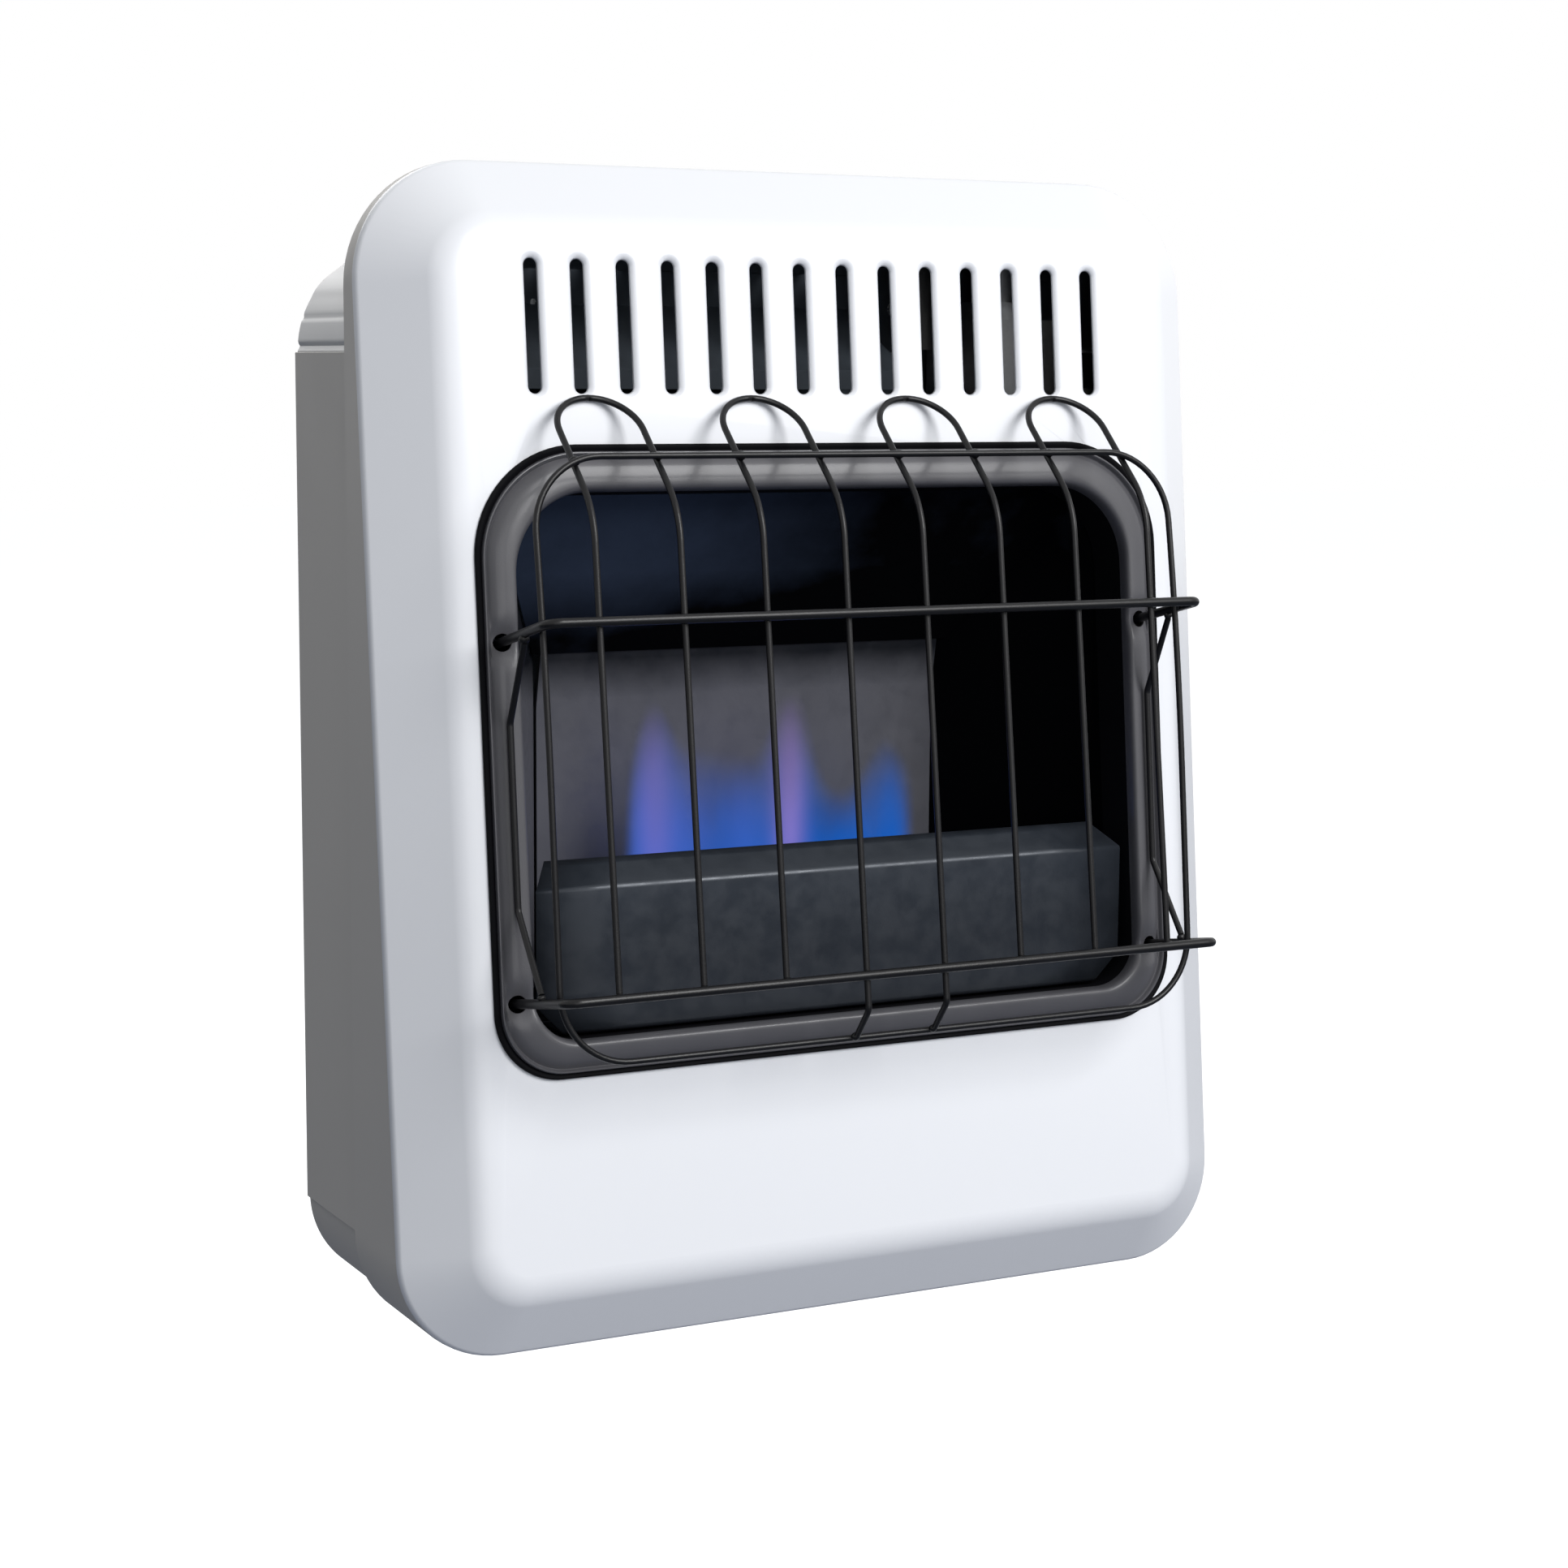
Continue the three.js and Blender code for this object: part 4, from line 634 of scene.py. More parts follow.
def moulded(name, tone, rough):
    """Moulded plastic, rubber or glazed ceramic."""
    tree = new_finish(name)
    fine = noise(tree, 900.0, 3.0)
    faced(
        tree,
        drifted(tree, noise(tree, 30.0, 2.0), tone, 0.1),
        ranged(tree, fine, rough - 0.06, rough + 0.06),
        relief(tree, fine, 0.12),
    )


def heated(name, tone, rough, painted_light_tone, painted_light_ramps, shine):
    """Steel with painted light and shade: its tone blended along its axes towards another tone,
    with a random drift, under a thin dull film.
    """
    tree = new_finish(name)
    place = add(tree, "ShaderNodeTexCoord")["Object"]
    split = add(tree, "ShaderNodeSeparateXYZ", {"Vector": place})
    total = ranged(tree, noise(tree, 26.0, 4.0, 0.6), -0.1, 0.1)
    for number, (axis, low, high) in enumerate(painted_light_ramps, 1):
        along = ranged(tree, split[axis], 0.0, 1.0, low, high)
        total = add(
            tree, "ShaderNodeMath", {0: total, 1: along}, operation="ADD",
            use_clamp=number == len(painted_light_ramps),
        )["Value"]
    faced(
        tree,
        blended(tree, total, tone, painted_light_tone),
        ranged(tree, noise(tree, 120.0, 4.0), rough - 0.08, rough + 0.08),
        relief(tree, noise(tree, 420.0, 3.0), 0.1),
        Metallic=0.3, Specular_IOR_Level=shine,
    )


def flame_glow(name, tone):
    """Clear blue flame that thins out towards its tips and edges."""
    tree = new_finish(name)
    tree.nodes.clear()
    heart = add(tree, "ShaderNodeAttribute", attribute_name="glow")
    violet = add(tree, "ShaderNodeAttribute", attribute_name="violet")
    wisp = ranged(tree, noise(tree, 45.0, 2.0, 0.5, (1.0, 1.0, 0.35)), 0.55, 1.0)
    body = add(
        tree, "ShaderNodeMath", {0: heart["Fac"], 1: wisp}, operation="MULTIPLY", use_clamp=True
    )
    shade = blended(tree, violet["Fac"], tone, (0.40, 0.26, 0.74))
    glow = add(tree, "ShaderNodeEmission", {"Color": shade, "Strength": 1.0})
    clear = add(tree, "ShaderNodeBsdfTransparent")
    mix = {"Fac": body["Value"], 1: clear["BSDF"], 2: glow["Emission"]}
    seen = add(tree, "ShaderNodeMixShader", mix)
    add(tree, "ShaderNodeOutputMaterial", {"Surface": seen["Shader"]})


def finishes(context):
    """Every finish of the heater, by its name."""
    if FINISHES:
        return FINISHES
    tones = context.scene.heater_colours
    painted("white_enamel", tones.enamel, 0.32, 1300.0, 0.015, coat=0.3, drift=0.006, gloss=0.012)
    painted("dark_powder", tones.powder, 0.44, 1500.0, 0.16, coat=0.25, shine=0.36)
    painted("guard_powder", tones.wire, 0.34, 1700.0, 0.2, shine=0.28)
    # A grey copy of the enamel for the panel's turned side: painted shade.
    painted("enamel_edge_painted_shade", tones.side, 0.5, 1300.0, 0.02, drift=0.006)
    painted("grey_case", tones.side, 0.56, 900.0, 0.08, drift=0.03)
    painted("light_case", tones.shell, 0.46, 700.0, 0.06, metallic=0.15, drift=0.03)
    # Dark bluish steel for the insides seen through the slots, and for the heat deflector: painted
    # shade.
    painted("bare_steel_in_painted_shade", (0.115, 0.135, 0.160), 0.6, 400.0, 0.1, shine=0.1)
    painted("ground_coat", (0.012, 0.016, 0.022), 0.6, 900.0, 0.1, shine=0.1)
    # Near black for the bezel's throat, painted shade, and for the ring round its outer edge.
    painted("painted_shade_and_ring_black", (0.004, 0.004, 0.005), 0.6, 900.0, 0.1, shine=0.04)
    # The firebox's hood, right wall and other parts: a dark navy copy of the firebox steel as
    # painted shade, blended to near black towards +X and lower down, more painted shade.
    heated(
        "soot_black", (0.042, 0.058, 0.098), 0.6, (0.0022, 0.0024, 0.0030),
        (("X", -0.07, 0.05), ("Z", -0.066, -0.096)), 0.0,
    )
    # The firebox's back and left walls: a lit copy of the firebox steel, darker towards the top as
    # a painted shadow.
    heated(
        "lit_firebox_painted_shade", (0.098, 0.099, 0.113), 0.52, (0.003, 0.004, 0.007),
        (("Z", -0.124, -0.106),), 0.3,
    )
    # The burner cover turns lighter towards its top fold: painted light.
    heated(
        "cover_black", (0.021, 0.025, 0.032), 0.36, (0.030, 0.036, 0.046),
        (("Z", -0.225, -0.195),), 0.45,
    )
    plated("zinc", (0.45, 0.47, 0.49), 0.38)
    plated("galvanised", (0.34, 0.35, 0.37), 0.50, grain=90.0, drift=0.22)
    plated("stainless", (0.36, 0.37, 0.39), 0.34, (0.2, 6.0, 6.0))
    plated("cast_alloy", (0.38, 0.39, 0.40), 0.48, grain=520.0)
    plated("brass", (0.56, 0.36, 0.12), 0.30, grain=300.0)
    plated("copper", (0.55, 0.24, 0.11), 0.32, grain=300.0)
    moulded("black_plastic", (0.016, 0.016, 0.017), 0.40)
    moulded("red_plastic", (0.30, 0.018, 0.012), 0.36)
    moulded("ceramic", (0.76, 0.72, 0.64), 0.34)
    moulded("silicone", (0.20, 0.022, 0.016), 0.50)
    moulded("dial_print", (0.72, 0.72, 0.70), 0.5)
    flame_glow("burner_flame", tones.flame)
    return FINISHES


# The leaning face
def face_matrix(context):
    """The face's own frame: across, into the heater, up the face."""
    panel = context.scene.heater_panel
    rim = panel.bevel_depth + RIM_DEPTH
    middle = panel.height / 2 * cos(panel.lean) + rim * sin(panel.lean)
    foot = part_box("front_panel")[0][2]
    place = Matrix.Translation((0, FACE_DEPTH, foot + middle))
    return place @ Matrix.Rotation(-panel.lean, 4, "X")


def bezel_outline(context, share, steps=16):
    """Outline at a share of the frame's width, from its outer to its inner edge."""
    panel, bezel = context.scene.heater_panel, context.scene.heater_bezel
    low_radius, high_radius = (
        outer + (inner - outer) * share for outer, inner in (BEZEL_LOW_CORNER, BEZEL_HIGH_CORNER)
    )
    return round_rect(
        panel.width / 2 - bezel.margin - share * bezel.side,
        -bezel.drop - bezel.height / 2 + share * bezel.foot,
        -bezel.drop + bezel.height / 2 - share * bezel.top,
        low_radius, high_radius, steps,
    )


class HEATER_OT_front_panel(Operator):
    """Presses the white front panel with its slots"""

    bl_idname = "heater.front_panel"
    bl_label = "Front panel"

    # Share of the bezel's width where the opening is cut, and a spot on the flat face
    opening = 0.35
    flat_spot = (0, 0, 0.14)
    roll_angle = radians(62)
    roll_steps = 5

    def execute(self, context):
        panel = context.scene.heater_panel
        place = face_matrix(context)
        back = place.inverted()
        profile = rounded_route(
            (
                (panel.bevel_width + panel.crest, 0), (panel.bevel_width, 0),
                (0, panel.bevel_depth), (0, panel.bevel_depth + panel.rim),
            ),
            (panel.crest, panel.rim), 10,
        )[1:]
        rise = panel.height / 2
        points = []
        for inset, depth in profile:
            low_radius = panel.low_radius - inset * panel.low_share
            half = panel.width / 2 - inset
            ring = round_rect(half, inset - rise, rise - inset, low_radius, panel.radius - inset)
            self.add_ring(points, place, ring, depth)
        count = len(ring)
        points.extend([Vector((p.x, PANEL_REAR, p.z)) for p in points[-count:]])
        faces = ring_faces(len(profile) + 1, count)
        opening = self.add_ring(points, place, bezel_outline(context, self.opening), 0.0)
        loops = [range(count), opening]
        pitch = (panel.width - 2 * panel.slot_margin) / (panel.slots - 1)
        for number in range(panel.slots):
            x = (number - (panel.slots - 1) / 2) * pitch
            rings = self.slot_rings(points, place, panel, x)
            loops.append(rings[0])
            faces += ring_faces(len(rings), len(rings[0]), first=rings[0][0])
        flat = [[back @ points[index] for index in loop] for loop in loops]
        flat = [[Vector((p.x, p.z, 0)) for p in loop] for loop in flat]
        order = [index for loop in loops for index in loop]
        for triangle in geometry.tessellate_polygon(flat):
            faces.append(tuple(order[index] for index in triangle))
        piece = skin("enamel_front_panel", points, faces)
        facing(piece, place @ Vector(self.flat_spot), place.to_3x3() @ OUT)
        thicken(piece, panel.sheet, material_offset=2, material_offset_rim=2)
        weighted(piece)
        paint = finishes(context)
        dress(piece, paint["white_enamel"], HOUSING, "white_enamel", "front_panel")
        # The panel's turned side takes a grey copy of the enamel: painted shade.
        turned = panel.bevel_depth + panel.crest * 0.1
        lined(piece, paint["enamel_edge_painted_shade"], lambda face: (back @ face.center).y > turned)
        # The sheet's inner side takes the finishes two places on
        for _ in range(2):
            piece.data.materials.append(paint["ground_coat"])
        return {"FINISHED"}

    def add_ring(self, points, place, outline, depth):
        first = len(points)
        points.extend(place @ Vector((x, depth, up)) for x, up in outline)
        return range(first, len(points))

    def slot_rings(self, points, place, panel, x):
        """Rings of one slot from the face down over its pressed edge."""
        rings = []
        steps, bend = self.roll_steps, self.roll_angle
        for step in range(steps + 1):
            angle = step / steps * bend
            grow = panel.slot_roll * (1 - sin(angle) / sin(bend))
            depth = panel.slot_press * (1 - cos(angle)) / (1 - cos(bend))
            radius = panel.slot_width / 2 + grow
            half = panel.slot_length / 2 + grow
            low, high = panel.slot_rise - half, panel.slot_rise + half
            outline = [
                (across + x, up) for across, up in round_rect(radius, low, high, radius, radius, 7)
            ]
            rings.append(self.add_ring(points, place, outline, depth))
        return rings


class HEATER_OT_bezel(Operator):
    """Rolls the dark bezel round the opening"""

    bl_idname = "heater.bezel"
    bl_label = "Bezel"

    sheet = 0.0009
    hole_radius = 0.0037
    hole_sides = 28
    hole_reach = 0.012
    dimple_depth = 0.0030
    dimple_reach = 0.0060
    # Sections: share of the frame's width, height out of the panel
    seal = (
        (0.165, 0.0003), (0.002, 0.0003), (0.0, 0.0010), (0.015, 0.0017), (0.045, 0.0019),
        (0.095, 0.0017), (0.13, 0.0012), (0.165, 0.0010),
    )
    outer_roll = (
        (0.15, 0.0004), (0.15, 0.0018), (0.155, 0.0024), (0.172, 0.0029), (0.192, 0.0030),
        (0.212, 0.0027), (0.230, 0.0020), (0.246, 0.0013), (0.265, 0.0011), (0.29, 0.0014),
        (0.32, 0.0019), (0.365, 0.0025), (0.42, 0.0031), (0.48, 0.0036), (0.56, 0.0040),
        (0.64, 0.0043), (0.72, 0.0045),
    )
    inner_roll = (
        (0.90, 0.0044), (0.93, 0.0040), (0.955, 0.0034), (0.975, 0.0025), (0.988, 0.0014),
        (0.996, 0.0001), (1.0, -0.0014), (1.0, -0.005),
    )

    def execute(self, context):
        bezel = context.scene.heater_bezel
        place = face_matrix(context)
        holes = guard_sizes(context).holes
        crests = ((0.80, bezel.crest), (0.86, bezel.crest))
        section = (*self.outer_roll, *crests, *self.inner_roll, (1.0, -bezel.throat))
        piece = self.rolled(context, "powder_bezel", section, 90, holes)
        crest = Vector((0, -bezel.crest, bezel.height / 2 - bezel.drop - bezel.top * 0.7))
        facing(piece, place @ crest, place.to_3x3() @ OUT)
        thicken(piece, self.sheet)
        self.pierce(piece, place, holes)
        weighted(piece)
        paint = finishes(context)
        dress(piece, paint["dark_powder"], HOUSING, "dark_powder", "bezel")
        back = place.inverted()
        # The inner wall past that depth takes the black finish: painted shade in the throat.
        lined(piece, paint["painted_shade_and_ring_black"], lambda face: (back @ face.center).y > bezel.seal_edge)
        # A black ring round the bezel's outer edge.
        gasket = self.rolled(context, "bezel_black_ring", self.seal, 1, (), closed=True)
        dress(gasket, paint["painted_shade_and_ring_black"], HOUSING, "dark_powder")
        return {"FINISHED"}

    def rolled(self, context, name, section, parts, holes, closed=False):
        """A skin of the section round the opening, its straights split into parts."""
        place = face_matrix(context)
        points = []
        for share, out in section:
            outline = bezel_outline(context, share, 18)
            for across, up in spaced(outline, lambda side: parts if side > 0.05 else 1):
                dip = self.dimple(holes, across, up) if 0.3 < share < 0.98 else 0.0
                points.append(place @ Vector((across, dip - out, up)))
        count = len(points) // len(section)
        return skin(name, points, ring_faces(len(section), count, closed))

    def dimple(self, holes, across, up):
        """How far the sheet is pressed in round the rods' holes."""
        depth = 0.0
        for hole in holes:
            reach = hypot(across - hole[0], up - hole[1])
            depth += self.dimple_depth * exp(-((reach / self.dimple_reach) ** 2))
        return depth

    def pierce(self, piece, place, holes):
        """Cuts the holes that the rods' ends pass through."""
        points, faces = [], []
        sides, radius = self.hole_sides, self.hole_radius
        for across, up in holes:
            first = len(points)
            for depth in (-self.hole_reach, self.hole_reach):
                for step in range(sides):
                    angle = 2 * pi * step / sides
                    spot = (across + radius * cos(angle), depth, up + radius * sin(angle))
                    points.append(place @ Vector(spot))
            faces += ring_faces(2, sides, first=first)
            faces.append(range(first, first + sides))
            faces.append(range(first + 2 * sides - 1, first + sides - 1, -1))
        cutter = skin("rod_hole_cutter", points, faces)
        modified(
            piece, "Rod holes", "BOOLEAN", operation="DIFFERENCE", solver="EXACT", object=cutter
        )
        baked(piece)
        soften(piece.data, radians(38))
        bpy.data.objects.remove(cutter)


def guard_sizes(context):
    """Places of the guard in the face's own frame."""
    scene = context.scene
    guard = scene.heater_guard
    spread = scene.heater_panel.width / 2 - scene.heater_bezel.margin - ROD_INSET
    upper = SimpleNamespace(hole=0.0488, lift=0.0067, reach=0.0495)
    lower = SimpleNamespace(hole=-0.0977, lift=0.0047, reach=0.0540)
    for rod in (upper, lower):
        rod.up = rod.hole + rod.lift
    return SimpleNamespace(
        spread=spread,
        rod=guard.rod / 2,
        wire=guard.wire / 2,
        upper=upper,
        lower=lower,
        drop=guard.rod / 2 + guard.wire / 2 + SEAT,
        pitch=(spread - LEG_INSET) / (guard.loops - 0.5),
        slope=(lower.reach - upper.reach) / (upper.up - lower.up),
        holes=[(side * spread, rod.hole) for side in (-1, 1) for rod in (upper, lower)],
    )


class HEATER_OT_guard(Operator):
    """Bends the guard's rods, loops, hoop and side wires, and welds them"""

    bl_idname = "heater.guard"
    bl_label = "Wire guard"

    loop_top = 0.147
    knee = 0.099
    knee_bend = 0.036
    hoop_foot = -0.1205
    hoop_top = 0.1215
    hoop_reach = 0.037
    hoop_radius = 0.030
    hoop_step = 0.006
    bow_start = -0.020
    rod_tail = 0.006
    rod_bend = 0.006
    wire_bend = 0.005
    side_out = 0.0046
    side_clear = 0.0005
    side_half = 0.038

    def execute(self, context):
        self.sizes = sizes = guard_sizes(context)
        self.place = face_matrix(context)
        self.paint = finishes(context)["guard_powder"]
        self.tree = wire_tree()
        self.loops = context.scene.heater_guard.loops
        self.hoop_half = sizes.spread - sizes.rod - sizes.wire - SEAT
        self.wire("rod_upper", self.rod_path(sizes.upper), sizes.rod, "guard_upper_rod")
        self.wire("rod_lower", self.rod_path(sizes.lower), sizes.rod, "guard_lower_rod")
        for number in range(self.loops):
            label = f"loop_{number + 1}"
            self.wire(label, self.loop_path(number), sizes.wire, "guard_" + label)
        for side, label in ((-1, "left"), (1, "right")):
            node = "guard_side_wire_" + label
            self.wire("side_" + label, self.side_path(side), sizes.wire, node)
        self.wire("hoop", self.hoop_path(), sizes.wire, "guard_hoop", closed=True)
        self.welds(context.scene.heater_guard.bead)
        return {"FINISHED"}

    def wire(self, name, path, radius, node, closed=False):
        piece = path_object("guard_wire_" + name, self.place, [path], closed)
        values = {"Radius": radius, "Sides": 20, "Bend steps": 14, "Material": self.paint}
        grown(piece, self.tree, values)
        dress(piece, self.paint, HOUSING, "guard_powder", node)

    def rod_path(self, rod):
        spread, tail = self.sizes.spread, self.rod_tail
        tail_up = rod.hole - rod.lift * tail / rod.reach
        return [
            (-spread, tail, tail_up, 0.0),
            (-spread, -rod.reach, rod.up, self.rod_bend),
            (spread, -rod.reach, rod.up, self.rod_bend),
            (spread, tail, tail_up, 0.0),
        ]

    def upright_out(self, up):
        """How far out a loop's upright is at a height."""
        sizes = self.sizes
        return sizes.upper.reach - sizes.drop - (up - sizes.upper.up) * sizes.slope

    def loop_line(self, up):
        """How far out the sloping part of a loop is at a height."""
        start = self.upright_out(self.knee)
        end = self.sizes.wire + SEAT
        return start + (up - self.knee) * (end - start) / (self.loop_top - self.knee)

    def loop_path(self, number):
        sizes = self.sizes
        pitch = sizes.pitch
        left = (2 * number - self.loops + 0.5) * pitch
        right = left + pitch
        top_out = sizes.wire + SEAT
        half = pitch / 2 - 1e-5
        return [
            *self.leg(left, 0 < left < pitch),
            (left, -top_out, self.loop_top, half),
            (right, -top_out, self.loop_top, half),
            *self.leg(right, -pitch < right < 0)[::-1],
        ]

    def leg(self, x, hooked):
        """A leg up to its knee, from the lower rod or from a hook round the hoop."""
        sizes = self.sizes
        knee = (x, -self.upright_out(self.knee), self.knee, self.knee_bend)
        if not hooked:
            end = sizes.lower.up - sizes.rod / 2
            return [(x, -self.upright_out(end), end, 0.0), knee]
        hook_out = self.hoop_reach + 2 * sizes.wire + SEAT
        hook_up = self.hoop_foot + sizes.wire
        bend_up = (sizes.lower.up - sizes.rod - sizes.wire + hook_up) / 2
        return [
            (x, -hook_out, hook_up, 0.0),
            (x, -self.upright_out(bend_up), bend_up, self.wire_bend),
            knee,
        ]

    def side_path(self, side):
        sizes = self.sizes
        upper, lower = sizes.upper, sizes.lower
        x = side * sizes.spread
        out = self.side_out + sizes.wire + self.side_clear
        top = upper.hole + upper.lift / 2 - sizes.drop
        foot = lower.hole + lower.lift / 2 + sizes.drop
        middle = (top + foot) / 2
        return [
            (x, -upper.reach / 2, top, 0.0),
            (x, -out, middle + self.side_half, self.wire_bend),
            (x, -out, middle - self.side_half, self.wire_bend),
            (x, -lower.reach / 2, foot, 0.0),
        ]

    def hoop_fall(self, x):
        """How far the hoop's upper edge has come down in its corner."""
        past = max(0.0, abs(x) - (self.hoop_half - self.hoop_radius))
        return self.hoop_radius - sqrt(self.hoop_radius**2 - past**2)

    def hoop_out(self, up):
        """How far out the hoop is at a height, bowed out to the loops' slopes."""
        sizes = self.sizes
        start = self.upright_out(self.knee)
        angle = atan2(self.loop_top - self.knee, start - sizes.wire - SEAT)
        outer = (self.loops - 0.5) * sizes.pitch
        gap = (2 * sizes.wire + SEAT) / sin(angle)
        bar = self.loop_line(self.hoop_top - self.hoop_fall(outer)) + gap
        share = max(0.0, (up - self.bow_start) / (self.hoop_top - self.bow_start))
        return self.hoop_reach + (bar - self.hoop_reach) * share * share

    def hoop_path(self):
        radius = self.hoop_radius
        outline = round_rect(self.hoop_half, self.hoop_foot, self.hoop_top, radius, radius, 14)
        outline = spaced(outline, lambda side: max(1, int(side / self.hoop_step + 0.5)))
        return [(x, -self.hoop_out(up), up, 0.0) for x, up in outline]

    def welds(self, radius):
        """Beads where the wires touch."""
        sizes = self.sizes
        rods = (sizes.upper, sizes.lower)
        beads = []
        for number in range(self.loops):
            left = (2 * number - self.loops + 0.5) * sizes.pitch
            for x in (left, left + sizes.pitch):
                beads.extend((x, -(rod.reach - sizes.rod), rod.up, 0.0) for rod in rods)
                up = self.hoop_top - self.hoop_fall(x)
                beads.append((x, -(self.hoop_out(up) + self.loop_line(up)) / 2, up, 0.0))
                if abs(x) < sizes.pitch:
                    out = self.hoop_reach + sizes.wire
                    beads.append((x, -out, self.hoop_foot + sizes.wire / 2, 0.0))
        for side in (-1, 1):
            path = self.side_path(side)
            for x, y, up, bend in (path[0], path[-1]):
                lift = sizes.wire if up > 0 else -sizes.wire
                beads.append((x, y, up + lift, bend))
            for rod in rods:
                out = self.hoop_reach if rod.up < 0 else self.hoop_out(rod.up)
                up = rod.hole + rod.lift * (self.hoop_reach / rod.reach)
                beads.append((side * (sizes.spread - sizes.rod - 0.0001), -out, up, 0.0))
        piece = path_object("guard_weld_beads", self.place, [[bead] for bead in beads])
        stretch = (1.15, 0.85, 1.0)
        values = {"Radius": radius, "Stretch": stretch, "Seed": 3, "Material": self.paint}
        grown(piece, bead_tree(), values)
        dress(piece, self.paint, HOUSING, "guard_powder")


class HEATER_OT_case(Operator):
    """Folds the case's top and foot with their beads and vents"""

    bl_idname = "heater.case"
    bl_label = "Case"

    # Beads and seam lines of the top: way along the sheet, half width, height
    beads = (
        (0.0166, 0.0011, -0.0010), (0.0290, 0.0012, -0.0006), (0.0455, 0.0060, 0.0005),
        (0.0615, 0.0040, 0.0004),
    )
    inner = 0.1964
    front = -0.083
    sheet = 0.001
    middle = 0.23
    vents = {"Count": 11, "Pitch": (0.0195, 0, 0), "Slot": (0.005, 0.042, 0.010)}
    vent_start = (-0.1475, -0.0345)
    # Name, node, slot, heights of the edge and of the cap above the panel's foot, bend
    caps = (
        ("shell_case_top", "case_top", "light_case", 0.3988, 0.4559, 0.0425),
        ("shell_case_foot", "case_bottom", "grey_case", 0.0572, 0.0023, 0.0422),
    )

    def execute(self, context):
        paint = finishes(context)
        tree = vent_tree()
        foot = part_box("front_panel")[0][2]
        middle = foot + self.middle
        for name, node, slot, edge, level, radius in self.caps:
            piece = self.folded(name, self.case_line(foot + edge, foot + level, radius))
            start = (*self.vent_start, foot + level)
            grown(piece, tree, {**self.vents, "Start": start, "Material": paint[slot]})
            soften(piece.data, radians(28))
            dress(piece, paint[slot], HOUSING, slot, node)
            # The case's inward faces take the dark steel: painted shade inside the case.
            lined(piece, paint["bare_steel_in_painted_shade"], lambda face: self.looks_in(face, middle))
        return {"FINISHED"}

    def looks_in(self, face, middle):
        inward = Vector((-face.center.x, 0, middle - face.center.z))
        return abs(face.normal.y) < 0.5 and face.normal.dot(inward.normalized()) > 0.3

    def case_line(self, edge, level, radius):
        """Line of the sheet from one edge over the corners to the other, with its beads."""
        inner = self.inner
        corners = ((inner, edge), (inner, level), (-inner, level), (-inner, edge))
        line = rounded_route(corners, (radius, radius), 64)
        if level < edge:
            return line[::-1]
        shaped, travel = [], 0.0
        first = self.filled(line[: len(line) // 2])
        for index, point in enumerate(first):
            if index:
                travel += (point - first[index - 1]).length
            ahead = first[min(index + 1, len(first) - 1)] - first[max(index - 1, 0)]
            side = Vector((ahead.y, -ahead.x)).normalized()
            rise = sum(
                high * exp(-(((travel - spot) / wide) ** 4)) for spot, wide, high in self.beads
            )
            shaped.append(point + side * rise)
        return shaped + [Vector((-point.x, point.y)) for point in reversed(shaped)]

    def filled(self, line):
        """The line with extra points on its first straight."""
        return [line[0].lerp(line[1], part / 24) for part in range(24)] + line[1:]

    def folded(self, name, line):
        """A folded sheet drawn out along the depth."""
        outline = [*line, *reversed(offset_line(line, self.sheet))]
        count = len(outline)
        points = [Vector((p.x, depth, p.y)) for depth in (self.front, 0.0) for p in outline]
        faces = ring_faces(2, count)
        for first in (0, count):
            for index in range(count // 2 - 1):
                near, far = first + index, first + count - 1 - index
                faces.append((near, near + 1, far - 1, far))
        return skin(name, points, faces)


class HEATER_OT_burner_cover(Operator):
    """Folds the black cover in front of the burner"""

    bl_idname = "heater.burner_cover"
    bl_label = "Burner cover"

    sheet = 0.001
    foot_flange = 0.026
    top_flange = 0.013
    top_rise = 0.010
    notch = 0.013
    step = 0.003
    across = (-1, -0.75, -0.5, -0.25, 0, 0.25, 0.5, 0.75, 1)

    def execute(self, context):
        low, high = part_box("burner_cover")
        front, floor = low[1], low[2]
        crest = high[2] - self.top_rise
        line = rounded_route(
            (
                (front + self.foot_flange, floor), (front, floor), (front, crest),
                (front + self.top_flange, crest + self.top_rise),
            ),
            (0.0022, 0.0030), 7,
        )
        fine = []
        for here, ahead in zip(line, line[1:]):
            parts = max(1, int((ahead - here).length / self.step))
            fine.extend(here.lerp(ahead, part / parts) for part in range(parts))
        fine.append(line[-1])
        points = []
        for y, up in fine:
            notch = max(0.0, self.notch - (up - floor), 0.9 * (up - crest))
            points.extend(Vector(((high[0] - notch) * x, y, up)) for x in self.across)
        faces = grid_faces(len(fine), len(self.across))
        piece = skin("folded_burner_cover", points, faces)
        facing(piece, Vector((0, front, (floor + crest) / 2)), OUT)
        thicken(piece, self.sheet)
        paint = finishes(context)["cover_black"]
        dress(piece, paint, HOUSING, "cover_black", "burner_cover")
        return {"FINISHED"}


